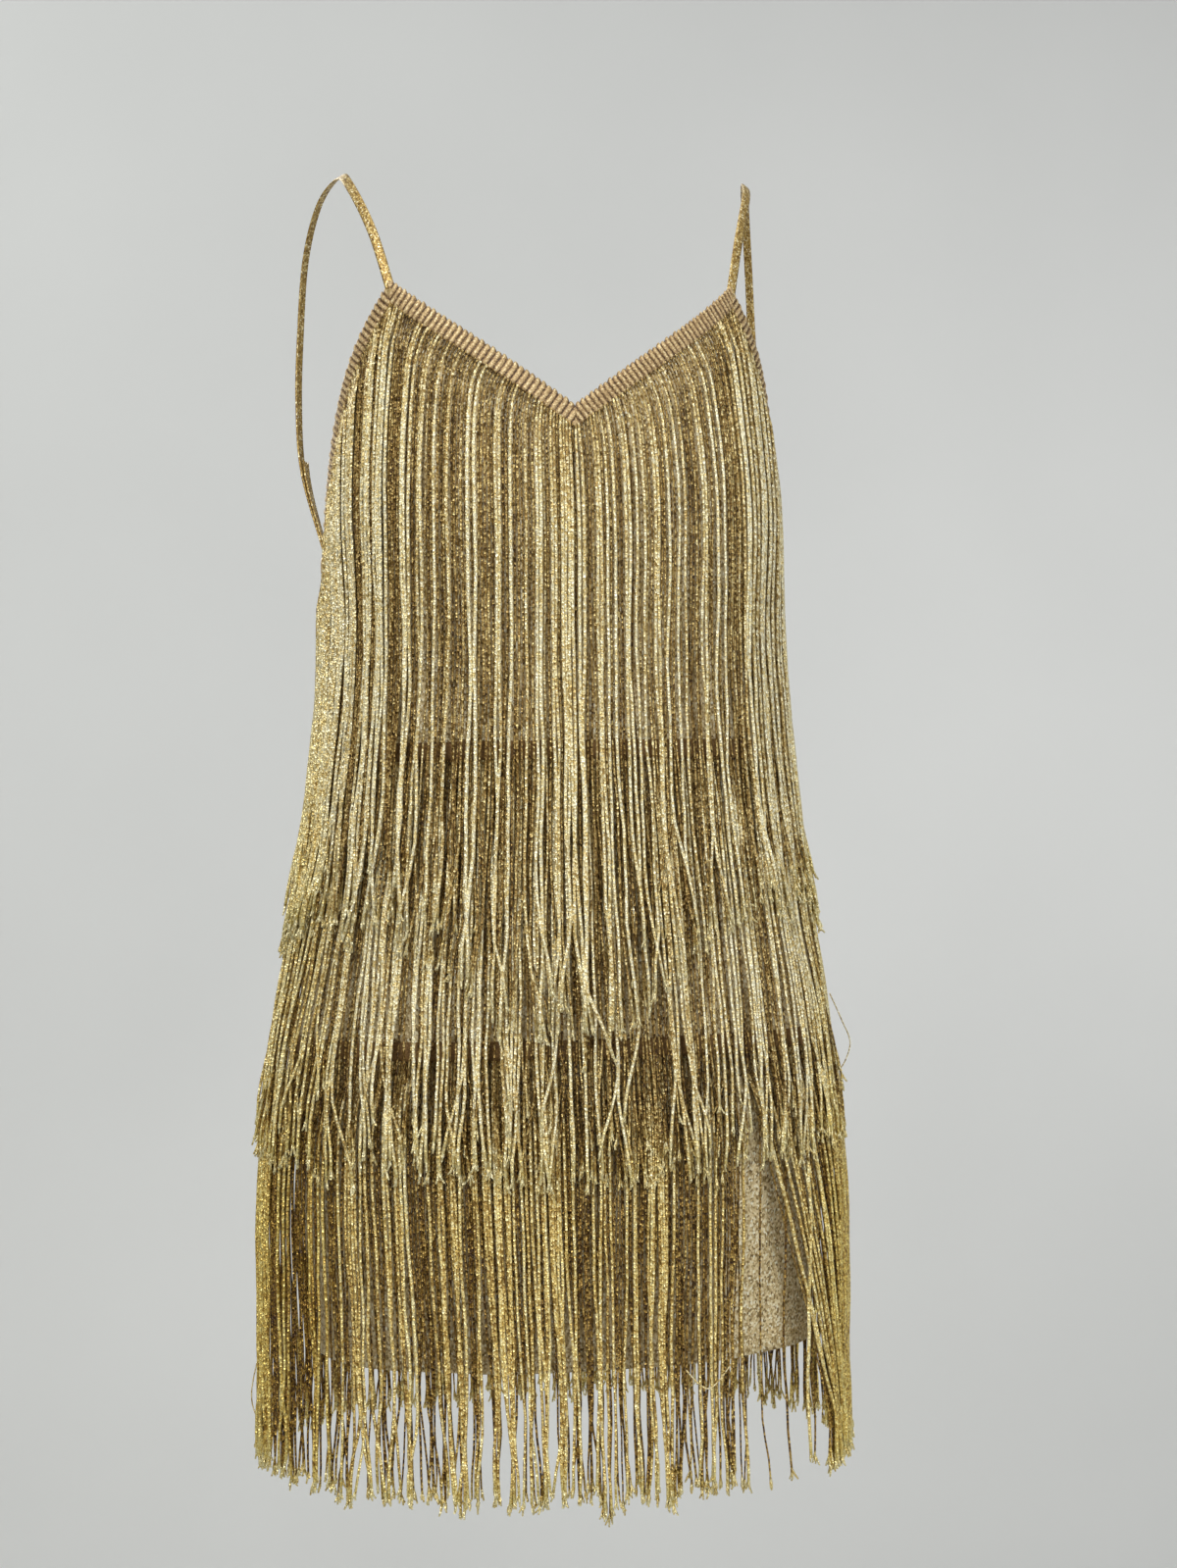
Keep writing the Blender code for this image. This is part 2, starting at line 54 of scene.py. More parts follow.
def paint(red, green, blue):
    """A colour from its usual 0 to 255 values, as linear light."""
    shares = [value / 255 for value in (red, green, blue)]
    return tuple(s / 12.92 if s <= 0.04045 else ((s + 0.055) / 1.055) ** 2.4 for s in shares) + (1.0,)


def new_material(name, metallic, roughness):
    """A plain material, and what is needed to build on it."""
    material = bpy.data.materials.new(name)
    material.use_nodes = True
    tree = material.node_tree
    shader = tree.nodes["Principled BSDF"]
    shader.inputs["Metallic"].default_value = metallic
    shader.inputs["Roughness"].default_value = roughness
    return material, tree.nodes, tree.links, shader


def colour_ramp(nodes, stops):
    """A ramp through stops of place and colour."""
    ramp_node = nodes.new("ShaderNodeValToRGB")
    elements = ramp_node.color_ramp.elements
    while len(elements) < len(stops):
        elements.new(0.5)
    for element, (place, colour) in zip(elements, stops):
        element.position = place
        element.color = colour
    return ramp_node


def mottled(nodes, links, scale, detail):
    """Soft cloudy variation over the piece, from 0 to 1."""
    place = nodes.new("ShaderNodeTexCoord")
    noise = nodes.new("ShaderNodeTexNoise")
    noise.inputs["Scale"].default_value = scale
    noise.inputs["Detail"].default_value = detail
    links.new(place.outputs["Object"], noise.inputs["Vector"])
    return noise.outputs["Fac"]


def room_plane(name, turn, place, colours):
    """A square plane of the room, softly mottled between two paints."""
    bm = bmesh.new()
    bmesh.ops.create_grid(bm, x_segments=1, y_segments=1, size=ROOM_SIZE / 2)
    bmesh.ops.transform(bm, matrix=Matrix.Translation(place) @ turn, verts=bm.verts)
    mesh = bpy.data.meshes.new(name)
    bm.to_mesh(mesh)
    bm.free()
    material, nodes, links, shader = new_material(name, 0.0, 0.85)
    tone = colour_ramp(nodes, ((0.3, colours[0]), (0.7, colours[1])))
    links.new(mottled(nodes, links, 1.3, 2.0), tone.inputs["Fac"])
    links.new(tone.outputs["Color"], shader.inputs["Base Color"])
    mesh.materials.append(material)
    plane = bpy.data.objects.new(name, mesh)
    bpy.context.scene.collection.objects.link(plane)


upright = Matrix.Rotation(math.radians(90), 4, "X")
room_plane("wall", upright, Vector(WALL), (paint(233, 234, 232), paint(238, 239, 237)))
floor_place = Vector((0, 0, FLOOR_HEIGHT))
room_plane("floor", Matrix.Identity(4), floor_place, (paint(236, 236, 234), paint(240, 240, 238)))

# Each light: name, place, what it points at, side length, power, colour
LIGHTS = (
    ("key", (-1.1, -1.7, 0.95), (0.0, 0.0, -0.30), 0.9, 36, (1.0, 0.985, 0.95)),
    ("fill", (1.6, -1.7, -0.2), (0.25, 0.0, -0.75), 1.4, 22, (0.97, 0.98, 1.0)),
    ("overhead", (0.1, -0.4, 1.5), (0.0, 0.0, -0.30), 1.4, 13, (1.0, 1.0, 1.0)),
    ("rear", (-0.9, 2.1, 0.7), (0.0, 0.0, -0.45), 1.2, 22, (1.0, 0.99, 0.97)),
    ("wall_left", (-2.2, 1.3, 2.2), (-1.0, 3.2, 1.1), 1.8, 26, (0.97, 1.0, 0.98)),
    ("wall_right", (2.4, 1.3, 0.2), (1.5, 3.2, 0.1), 1.8, 10, (1.0, 1.0, 1.0)),
)
for name, place, target, side, power, colour in LIGHTS:
    light = bpy.data.lights.new(name, "AREA")
    light.size = side
    light.energy = power
    light.color = colour
    lamp = bpy.data.objects.new(name, light)
    lamp.location = place
    lamp.visible_camera = False
    lamp.rotation_euler = (Vector(target) - Vector(place)).to_track_quat("-Z", "Y").to_euler()
    bpy.context.scene.collection.objects.link(lamp)

SKY, SKY_STRENGTH = (0.80, 0.81, 0.82, 1), 0.30
world = bpy.data.worlds.new("room_light")
world.use_nodes = True
world.node_tree.nodes["Background"].inputs["Color"].default_value = SKY
world.node_tree.nodes["Background"].inputs["Strength"].default_value = SKY_STRENGTH
bpy.context.scene.world = world
bpy.context.scene.view_settings.view_transform = "Standard"

LENS, SENSOR_HEIGHT, CAMERA_PLACE = 56.62, 36, (-0.246, -1.660, -0.437)
camera_data = bpy.data.cameras.new("camera")
camera_data.lens = LENS
camera_data.sensor_fit = "VERTICAL"
camera_data.sensor_height = SENSOR_HEIGHT
camera = bpy.data.objects.new("camera", camera_data)
camera.location = CAMERA_PLACE
LOOK_UP, LOOK_ASIDE, TILT = math.radians(0.83), math.radians(9.19), math.radians(-0.97)
look = Vector((math.sin(LOOK_ASIDE), math.cos(LOOK_ASIDE), math.tan(LOOK_UP)))
camera.rotation_euler = (look.to_track_quat("-Z", "Y") @ Quaternion((0, 0, 1), TILT)).to_euler()
bpy.context.scene.collection.objects.link(camera)
bpy.context.scene.camera = camera

# The body: a front and a back panel of stretchy knit with a metallic yarn in it, sewn up the
# sides. Both are thin, hang from the straps, and sag in soft folds. The fringe covers them.
# Rows of height, half width, front depth and back depth
BODY = np.array([
    (-0.060, 0.1355, 0.0960, 0.0780),
    (-0.088, 0.1385, 0.1000, 0.0820),
    (-0.130, 0.1445, 0.1050, 0.0870),
    (-0.180, 0.1485, 0.1100, 0.0920),
    (-0.225, 0.1505, 0.1150, 0.0960),
    (-0.262, 0.1510, 0.1160, 0.0970),
    (-0.330, 0.1520, 0.1115, 0.0960),
    (-0.400, 0.1575, 0.1090, 0.0990),
    (-0.470, 0.1645, 0.1105, 0.1070),
    (-0.540, 0.1735, 0.1140, 0.1180),
    (-0.610, 0.1800, 0.1180, 0.1240),
    (-0.680, 0.1780, 0.1200, 0.1220),
    (-0.785, 0.1670, 0.1190, 0.1160),
    (-0.880, 0.1650, 0.1190, 0.1150),
])
HALF_WIDTH, FRONT, BACK = 1, 2, 3
SQUARENESS = 0.046
EVEN_STEPS = 4.6
SIDE = 90
# Fullness: turn, height, degrees across, reach above and below, metres out
SWELLS = (
    (33, -0.225, 20, 0.070, 0.120, 0.007),
    (-33, -0.225, 20, 0.070, 0.120, 0.007),
    (103, -0.257, 15, 0.070, 0.080, 0.003),
    (-103, -0.257, 15, 0.070, 0.080, 0.004),
)
# Folds: turn, degrees across, metres deep, top and bottom
FOLDS = (
    (-66, 10, 0.0040, -0.230, -0.520),
    (-10, 11, 0.0030, -0.240, -0.470),
    (16, 10, 0.0025, -0.250, -0.430),
    (62, 11, 0.0040, -0.235, -0.500),
    (-40, 10, 0.0030, -0.620, -0.800),
    (4, 11, 0.0025, -0.640, -0.800),
    (47, 10, 0.0030, -0.610, -0.800),
    (118, 12, 0.0040, -0.290, -0.500),
    (171, 13, 0.0045, -0.300, -0.560),
    (-126, 12, 0.0035, -0.290, -0.480),
    (142, 11, 0.0030, -0.640, -0.800),
    (-150, 12, 0.0035, -0.630, -0.800),
)
FOLD_FADE = 0.07
PEAK_TURN, PEAK, V_POINT = 55, -0.088, -0.175
UNDERARM, BACK_TOP, HEM = -0.262, -0.257, -0.785
BACK_RISE_TURN = 14
ARMHOLE_CURVE = 1.75
ARMHOLE_STEPS, NECK_STEPS, BACK_STEPS = 52, 52, 72
CLOTH = 0.0009
SEAM_GAP = 0.0004
PANEL_COLUMNS, PANEL_ROWS = 104, 96


def read_rows(rows, height, column):
    """A column's value at each height, on a smooth curve through the rows."""
    heights, values = rows[:, 0], rows[:, column]
    height = np.clip(height, heights[-1], heights[0])
    count = np.arange(len(rows))
    low, high = np.maximum(count - 1, 0), np.minimum(count + 1, len(rows) - 1)
    slopes = (values[high] - values[low]) / (heights[high] - heights[low])
    i = np.clip(np.searchsorted(-heights, -height, side="right") - 1, 0, len(rows) - 2)
    span = heights[i + 1] - heights[i]
    s = (height - heights[i]) / span
    value = values[i] * (1 + 2 * s) * (1 - s) ** 2 + values[i + 1] * s * s * (3 - 2 * s)
    return value + span * (slopes[i] * s * (1 - s) ** 2 - slopes[i + 1] * s * s * (1 - s))


def short_turn(turn):
    """The same turn, from -180 to 180 degrees."""
    return (turn + 180) % 360 - 180


def bell(distance, width):
    """1 at no distance, falling smoothly to 0 past the width."""
    return np.exp(-((distance / width) ** 2))


def ease(value, low, high):
    """From 0 at low to 1 at high, with soft ends."""
    share = np.clip((value - low) / (high - low), 0, 1)
    return share * share * (3 - 2 * share)


def section(turn, height):
    """Points of the body's plain section, before its fullness and folds."""
    angle = np.radians(turn - EVEN_STEPS * np.sin(np.radians(2 * turn)))
    swell = 1 + SQUARENESS * np.sin(2 * angle) ** 2
    depth = np.where(np.cos(angle) > 0, read_rows(BODY, height, FRONT), read_rows(BODY, height, BACK))
    across = read_rows(BODY, height, HALF_WIDTH) * np.sin(angle) * swell
    return np.stack([across, -depth * np.cos(angle) * swell, height], axis=-1)


def body_frame(turn, height):
    """Unit vectors round the body and outwards, and the metres that one degree covers."""
    step = section(turn + 0.5, height) - section(turn - 0.5, height)
    length = np.linalg.norm(step, axis=-1)
    along = step / length[..., None]
    outward = np.stack([along[..., 1], -along[..., 0], np.zeros_like(length)], axis=-1)
    return along, outward, length


def on_body(turn, height, out=0.0):
    """Points this far outside the cloth, for arrays of turn and height."""
    turn, height, out = (np.array(a) for a in np.broadcast_arrays(*map(np.float64, (turn, height, out))))
    reach = out.copy()
    for where, level, across, above, below, swell in SWELLS:
        tall = np.where(height > level, above, below)
        reach += swell * bell(short_turn(turn - where), across) * bell(height - level, tall)
    for where, across, depth, top, bottom in FOLDS:
        foot = ease(height, bottom - FOLD_FADE, bottom)
        head = 1 - ease(height, top - FOLD_FADE, top)
        reach -= depth * bell(short_turn(turn - where), across) * foot * head
    return section(turn, height) + body_frame(turn, height)[1] * reach[..., None]


def edge_stations():
    """The cloth's top edge all round as turn and height: right armhole, V, left armhole, back."""
    rise = np.linspace(0, 1, ARMHOLE_STEPS + 1)[:, None]
    armhole_turns = SIDE - (SIDE - PEAK_TURN) * rise**ARMHOLE_CURVE
    armhole = np.hstack([armhole_turns, UNDERARM + (PEAK - UNDERARM) * rise])
    fall = np.linspace(0, 1, NECK_STEPS + 1)[1:, None]
    neck = np.hstack([PEAK_TURN * (1 - fall), PEAK + (V_POINT - PEAK) * fall])
    left = np.vstack([armhole, neck])
    right = left * (-1, 1)
    turns = SIDE + 180 * np.arange(1, BACK_STEPS) / BACK_STEPS
    near_side = np.maximum(0, 1 - np.minimum(turns - SIDE, 270 - turns) / BACK_RISE_TURN)
    back = np.column_stack([turns, BACK_TOP + (UNDERARM - BACK_TOP) * near_side**2])
    return np.vstack([right, left[-2::-1], back])


EDGE = edge_stations()
PEAK_RIGHT = ARMHOLE_STEPS
V_STATION = PEAK_RIGHT + NECK_STEPS
PEAK_LEFT = V_STATION + NECK_STEPS
SIDE_LEFT = PEAK_LEFT + ARMHOLE_STEPS
SIDE_RIGHT = len(EDGE)


def new_piece(name, bm, material):
    """Turns a finished bmesh into a smooth-shaded piece that rides on the dress."""
    mesh = bpy.data.meshes.new(name)
    bm.to_mesh(mesh)
    bm.free()
    mesh.shade_smooth()
    mesh.materials.append(material)
    piece = bpy.data.objects.new(name, mesh)
    bpy.context.scene.collection.objects.link(piece)
    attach(piece, "root")
    return piece


def glints(nodes, links, size, tall):
    """A random value for each small fleck of the metallic yarn, drawn out downwards. Used as colour, its bright
    flecks are partly the yarn's own lurex and partly painted glints.
    """
    place = nodes.new("ShaderNodeTexCoord")
    scale = nodes.new("ShaderNodeMapping")
    scale.inputs["Scale"].default_value = (1 / size, 1 / size, 1 / (size * tall))
    cells = nodes.new("ShaderNodeTexVoronoi")
    cells.inputs["Scale"].default_value = 1
    split = nodes.new("ShaderNodeSeparateColor")
    links.new(place.outputs["Object"], scale.inputs["Vector"])
    links.new(scale.outputs["Vector"], cells.inputs["Vector"])
    links.new(cells.outputs["Color"], split.inputs["Color"])
    return split.outputs["Red"], cells.outputs["Distance"]


def bump(nodes, links, shader, height, strength, distance):
    """Fine relief in the material, over the shapes of the mesh."""
    relief = nodes.new("ShaderNodeBump")
    relief.inputs["Strength"].default_value = strength
    relief.inputs["Distance"].default_value = distance
    links.new(height, relief.inputs["Height"])
    links.new(relief.outputs["Normal"], shader.inputs["Normal"])


knit, nodes, links, shader = new_material("glitter_knit", 0.35, 0.5)
sparkle, dimple = glints(nodes, links, 0.0012, 1.3)
tone = colour_ramp(nodes, (
    (0.00, paint(116, 94, 50)),
    (0.25, paint(186, 162, 110)),
    (0.58, paint(226, 206, 158)),
    (0.80, paint(242, 226, 182)),
    (1.00, paint(255, 252, 228)),
))
# The knit's flecks: partly its own lurex, partly painted glints.
links.new(sparkle, tone.inputs["Fac"])
links.new(tone.outputs["Color"], shader.inputs["Base Color"])
bump(nodes, links, shader, dimple, 0.7, 0.0006)


CREASE_DEPTH = 0.0012


def crease(turn, height):
    """Small sags of the thin cloth between the big folds. They only go inwards."""
    wave = np.sin(np.radians(turn) * 9 + height * 31) * np.sin(height * 43 + np.radians(turn) * 4)
    return -CREASE_DEPTH * np.maximum(wave, 0) ** 1.5 * ease(-height, 0.27, 0.34)


def cut_panel(name, first, last, replaced):
    """One panel between two stations of the top edge, down to the hem."""
    bm = bmesh.new()
    bmesh.ops.create_grid(bm, x_segments=PANEL_COLUMNS, y_segments=PANEL_ROWS, size=0.5)
    places = np.array([vert.co for vert in bm.verts]) + 0.5
    stations = np.arange(first, last + 1)
    lap = np.where(stations >= len(EDGE), 360, 0)
    turns = EDGE[stations % len(EDGE), 0] + lap
    station = first + places[:, 0] * (last - first)
    turn = np.interp(station, stations, turns)
    top = np.interp(station, stations, EDGE[stations % len(EDGE), 1])
    seam = SEAM_GAP / 2 / body_frame(np.float64(SIDE), np.float64(UNDERARM))[2]
    turn = np.clip(turn, turns[0] + seam, turns[-1] - seam)
    height = HEM + (top - HEM) * places[:, 1]
    for vert, point in zip(bm.verts, on_body(turn, height, crease(turn, height))):
        vert.co = point
    bm.normal_update()
    middle = next(iter(bm.faces))
    centre = middle.calc_center_median()
    if middle.normal.dot(Vector((centre.x, centre.y, 0))) < 0:
        bmesh.ops.reverse_faces(bm, faces=bm.faces)
    panel = new_piece(name, bm, knit)
    wall = panel.modifiers.new("cloth", "SOLIDIFY")
    wall.thickness = CLOTH
    wall.offset = -1
    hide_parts(replaced)
    return panel


front_cloth = cut_panel("front_cloth", 0, SIDE_LEFT, "front_panel")
back_cloth = cut_panel("back_cloth", SIDE_LEFT, SIDE_RIGHT, "back_panel")

# The tapes: ribbed braid in tan and pale gold, about 12 mm wide, laid over every top edge. Its
# cords run across it, and each ends in a small loop that stands past the edge.
TAPE_WIDTH, TAPE_PROUD = 0.0115, 0.0015
TAPE_STAND, TAPE_THICK = 0.0006, 0.0009
CORD_PROUD, CORD_LOOP = 0.0013, 0.0015
CORD_STEPS, TAPE_ACROSS = 8, 14
GLINT_WEIGHT, CORD_SHADING_WEIGHT = 0.35, 0.62


def moved_station(i, width):
    """Station i of the edge moved into the cloth by a width, on the mitre of the steps beside it."""
    turn, height = EDGE[i % len(EDGE)]
    near = on_body(EDGE[[(i - 1) % len(EDGE), i % len(EDGE), (i + 1) % len(EDGE)], 0],
                   EDGE[[(i - 1) % len(EDGE), i % len(EDGE), (i + 1) % len(EDGE)], 1])
    before, after = Vector(near[1] - near[0]).normalized(), Vector(near[2] - near[1]).normalized()
    along, outward, per_degree = body_frame(turn, height)
    sides = [tangent.cross(Vector(outward)).normalized() for tangent in (before, after)]
    middle = (sides[0] + sides[1]).normalized()
    move = middle * width / max(middle.dot(sides[0]), 0.5)
    return (turn + move.dot(Vector(along)) / per_degree, height + move.z), move, before, after


def edge_path(first, last, width, count):
    """Even stations along a stretch of the edge, moved into the cloth by a width and mitred."""
    lap = 360 if last >= len(EDGE) else 0
    start, start_move, _, start_after = moved_station(first, width)
    end, end_move, end_before, _ = moved_station(last, width)
    corners = on_body(EDGE[[first, last % len(EDGE)], 0], EDGE[[first, last % len(EDGE)], 1])
    slides = start_move.dot(start_after), -end_move.dot(end_before)
    stations = [start]
    for i in range(first + 1, last):
        here = on_body(*EDGE[i])
        if all(np.linalg.norm(here - corner) > slide for corner, slide in zip(corners, slides)):
            stations.append(moved_station(i, width)[0])
    stations.append((end[0] + lap, end[1]))
    stations = np.array(stations)
    points = on_body(stations[:, 0], stations[:, 1])
    lengths = np.concatenate([[0], np.cumsum(np.linalg.norm(np.diff(points, axis=0), axis=1))])
    want = np.linspace(0, lengths[-1], count)
    return np.column_stack([np.interp(want, lengths, stations[:, k]) for k in (0, 1)])


braid, nodes, links, shader = new_material("ribbed_tape", 0.25, 0.5)
cord_height = nodes.new("ShaderNodeAttribute")
cord_height.attribute_name = "cord"
sparkle, dimple = glints(nodes, links, 0.0008, 1.0)
mix = nodes.new("ShaderNodeMath")
mix.operation = "MULTIPLY_ADD"
mix.inputs[1].default_value = GLINT_WEIGHT
# The tape's flecks: partly its own lurex, partly painted glints.
links.new(sparkle, mix.inputs[0])
# Painted shade: the colour follows the cords' height, darker down in the grooves between them.
cords = nodes.new("ShaderNodeMath")
cords.operation = "MULTIPLY"
cords.inputs[1].default_value = CORD_SHADING_WEIGHT
links.new(cord_height.outputs["Fac"], cords.inputs[0])
links.new(cords.outputs["Value"], mix.inputs[2])
tone = colour_ramp(nodes, (
    (0.18, paint(44, 27, 10)),
    (0.40, paint(92, 66, 36)),
    (0.62, paint(163, 134, 91)),
    (0.84, paint(208, 182, 132)),
    (1.00, paint(252, 240, 196)),
))
links.new(mix.outputs["Value"], tone.inputs["Fac"])
links.new(tone.outputs["Color"], shader.inputs["Base Color"])
bump(nodes, links, shader, dimple, 0.4, 0.0003)


def sew_tape(name, first, last, cord_count, replaced):
    """A tape over a stretch of the edge, its cords square to it and their loops past it."""
    count = cord_count * CORD_STEPS + 1
    upper = edge_path(first, last, -TAPE_PROUD, count)
    lower = edge_path(first, last, TAPE_WIDTH - TAPE_PROUD, count)
    bm = bmesh.new()
    bmesh.ops.create_grid(bm, x_segments=count - 1, y_segments=TAPE_ACROSS, size=0.5)
    cord_layer = bm.verts.layers.float.new("cord")
    places = np.array([vert.co for vert in bm.verts]) + 0.5
    number = np.round(places[:, 0] * (count - 1)).astype(int)
    across = 1 - places[:, 1]
    above, below = on_body(upper[:, 0], upper[:, 1]), on_body(lower[:, 0], lower[:, 1])
    run = np.gradient(above, axis=0)
    pace = np.linalg.norm(run, axis=1)
    slant = ((below - above) * run).sum(axis=1) / pace**2
    phase = (number + slant[number] * across) / CORD_STEPS
    uneven = 1 + 0.25 * np.sin(np.floor(phase) * 2.9)
    cord = np.abs(np.sin(np.pi * phase)) ** 0.7
    loop = CORD_LOOP / TAPE_WIDTH * cord * uneven
    share = across + (np.where(across < 0.2, -loop, 0) * (1 - across / 0.2))
    spot = upper[number] + (lower[number] - upper[number]) * share[:, None]
    crown = 1 - np.abs(2 * across - 1) ** 5
    out = TAPE_STAND + TAPE_THICK * (0.4 + 0.6 * crown) + CORD_PROUD * cord * uneven * (0.25 + 0.75 * crown)
    for vert, point, ridge in zip(bm.verts, on_body(spot[:, 0], spot[:, 1], out), cord):
        vert.co = point
        vert[cord_layer] = ridge
    bm.normal_update()
    middle = bm.faces[:][len(bm.faces) // 2]
    centre = middle.calc_center_median()
    if middle.normal.dot(Vector((centre.x, centre.y, 0))) < 0:
        bmesh.ops.reverse_faces(bm, faces=bm.faces)
    tape = new_piece(name, bm, braid)
    wall = tape.modifiers.new("tape", "SOLIDIFY")
    wall.thickness = TAPE_THICK
    wall.offset = -1
    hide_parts(replaced)
    return tape


tapes = [
    sew_tape("armhole_tape_right", 0, PEAK_RIGHT, 45, "armhole_band_right"),
    sew_tape("neck_tape_right", PEAK_RIGHT, V_STATION, 35, "neck_band_right"),
    sew_tape("neck_tape_left", V_STATION, PEAK_LEFT, 40, "neck_band_left"),
    sew_tape("armhole_tape_left", PEAK_LEFT, SIDE_LEFT, 45, "armhole_band_left"),
    sew_tape("back_tape", SIDE_LEFT, SIDE_RIGHT, 78, "back_band"),
]

# The fringe: three tiers of long cut chainette, each strand a soft cord of twisted metallic yarn
# 1 to 2.5 mm thick. The top tier is sewn under the tapes, the others under their own headings.
STRAND_SIDES, LEVELS = 5, 18
ROOT_STEPS = (0, 0.0025, 0.005, 0.008, 0.012, 0.017, 0.024, 0.034)
# A share of the strands is thick and hangs in front of the others. These are painted bright as painted
# highlight, and the ones behind dark as painted shade
BRIGHT_SHARE = 0.36
BRIGHT_RADIUS, DULL_RADIUS, RADIUS_SPREAD = 0.00098, 0.00062, 0.00030
FRONT_LIT_TINT, BACK_SHADED_TINT, TINT_SPREAD, TINT_PATCHES = 0.84, 0.18, 0.13, 0.10
LAYER_DEPTH, ROOT_OUT = 0.0026, 0.0016
# How uneven the tips are: each one, the groups, and the shorter half
TIP_UNEVEN, GROUP_UNEVEN, TIP_SHORTER = 0.0035, 0.0060, 0.045
# How far strands lean: wave lengths and size, by groups, and over the part that curls at the tip
WAVES, WAVE_SIZE = (0.16, 0.09, 0.045), 0.006
GROUP_LEAN, TIP_LEAN, TIP_LIFT, TIP_CURL = 0.0020, 0.0042, 0.0045, 0.055
# The cut ends: brushes of thin ends, and the pale part above them
WISPS, WISP_SIDES, WISP_SPLAY = 3, 3, 0.24
WISP_RADII = (0.00078, 0.00080, 0.00062)
CUT_PALE, CUT_LONG, CUT_SHORT = 0.55, 0.018, 0.002
SPECK_WEIGHT, TINT_WEIGHT = 0.54, 0.64
GOLD_AND_SHADE_COLOUR = (0.96, 0.86, 0.44, 1.0)
# How far each tier hangs from the cloth: height, at the front or back, left side, right side
MIDDLE, LEFT, RIGHT = 1, 2, 3
TOP_HANG = np.array([
    (-0.060, 0.0014, 0.0010, 0.0010),
    (-0.180, 0.0022, 0.0016, 0.0016),
    (-0.260, 0.0028, 0.0020, 0.0020),
    (-0.340, 0.0034, 0.0028, 0.0034),
    (-0.386, 0.0042, 0.0026, 0.0050),
    (-0.460, 0.0056, 0.0028, 0.0084),
    (-0.520, 0.0070, 0.0030, 0.0106),
    (-0.600, 0.0088, 0.0050, 0.0135),
])
WAIST_HANG = np.array([
    (-0.398, 0.0007, 0.0007, 0.0007),
    (-0.460, 0.0018, 0.0020, 0.0040),
    (-0.520, 0.0032, 0.0028, 0.0095),
    (-0.576, 0.0044, 0.0038, 0.0140),
    (-0.630, 0.0062, 0.0072, 0.0175),
    (-0.680, 0.0080, 0.0110, 0.0205),
])
HIP_HANG = np.array([
    (-0.588, 0.0007, 0.0007, 0.0007),
    (-0.630, 0.0020, 0.0060, 0.0150),
    (-0.680, 0.0036, 0.0120, 0.0235),
    (-0.730, 0.0054, 0.0180, 0.0300),
    (-0.785, 0.0080, 0.0225, 0.0360),
    (-0.880, 0.0094, 0.0240, 0.0385),
])
# Where the tips hang: rows of turn and height
TOP_TIPS = np.array([
    (-180, -0.560),
    (-120, -0.535),
    (-90, -0.510),
    (-55, -0.500),
    (-40, -0.508),
    (-30, -0.530),
    (-23, -0.552),
    (-8, -0.574),
    (6, -0.577),
    (14, -0.556),
    (21, -0.534),
    (29, -0.514),
    (47, -0.486),
    (70, -0.492),
    (90, -0.505),
    (130, -0.535),
    (180, -0.560),
])
WAIST_TIPS = np.array([
    (-180, -0.650), (-90, -0.646), (-50, -0.652), (0, -0.662),
    (40, -0.655), (60, -0.645), (90, -0.640), (180, -0.650),
])
HIP_TIPS = np.array([
    (-180, -0.850), (-90, -0.850), (-50, -0.855), (0, -0.862), (50, -0.858), (90, -0.854), (180, -0.850),
])

gold, nodes, links, shader = new_material("metallic_fringe", 0.5, 0.34)
strand_tint = nodes.new("ShaderNodeAttribute")
strand_tint.attribute_name = "tint"
sparkle, dimple = glints(nodes, links, 0.0012, 1.2)
speck = nodes.new("ShaderNodeMath")
speck.operation = "MULTIPLY_ADD"
speck.inputs[1].default_value = SPECK_WEIGHT
share = nodes.new("ShaderNodeMath")
share.operation = "MULTIPLY"
share.inputs[1].default_value = TINT_WEIGHT
links.new(strand_tint.outputs["Fac"], share.inputs[0])
# The strands' flecks: partly their own lurex, partly painted glints on the twisted yarn.
links.new(sparkle, speck.inputs[0])
links.new(share.outputs["Value"], speck.inputs[2])
tone = colour_ramp(nodes, (
    (0.08, paint(60, 38, 8)),
    (0.28, paint(122, 94, 42)),
    (0.46, paint(174, 144, 84)),
    (0.64, paint(222, 200, 138)),
    (0.82, paint(252, 238, 190)),
    (1.00, paint(255, 250, 222)),
))
links.new(speck.outputs["Value"], tone.inputs["Fac"])
# This attribute multiplies the colour towards a deeper gold. Part of that is the yarn's own deeper gold, and
# part is painted shade lower down and at the flanks.
gold_and_shade_reader = nodes.new("ShaderNodeAttribute")
gold_and_shade_reader.attribute_name = "gold_and_shade"
gold_and_shade_mix = nodes.new("ShaderNodeMix")
gold_and_shade_mix.data_type = "RGBA"
gold_and_shade_mix.blend_type = "MULTIPLY"
links.new(gold_and_shade_reader.outputs["Fac"], gold_and_shade_mix.inputs["Factor"])
links.new(tone.outputs["Color"], gold_and_shade_mix.inputs["A"])
gold_and_shade_mix.inputs["B"].default_value = GOLD_AND_SHADE_COLOUR
links.new(gold_and_shade_mix.outputs["Result"], shader.inputs["Base Color"])
bump(nodes, links, shader, dimple, 1.0, 0.0010)


def tube_rings(centres, outwards, radii, sides):
    """Rings of corners round the centre lines, for arrays of tube by level."""
    tangents = np.gradient(centres, axis=1)
    tangents /= np.linalg.norm(tangents, axis=-1, keepdims=True)
    across = np.cross(outwards, tangents)
    across /= np.linalg.norm(across, axis=-1, keepdims=True)
    facing = np.cross(tangents, across)
    angles = 2 * np.pi * np.arange(sides) / sides
    spokes = np.cos(angles)[:, None] * across[:, :, None] + np.sin(angles)[:, None] * facing[:, :, None]
    return centres[:, :, None] + spokes * radii[:, :, None, None]


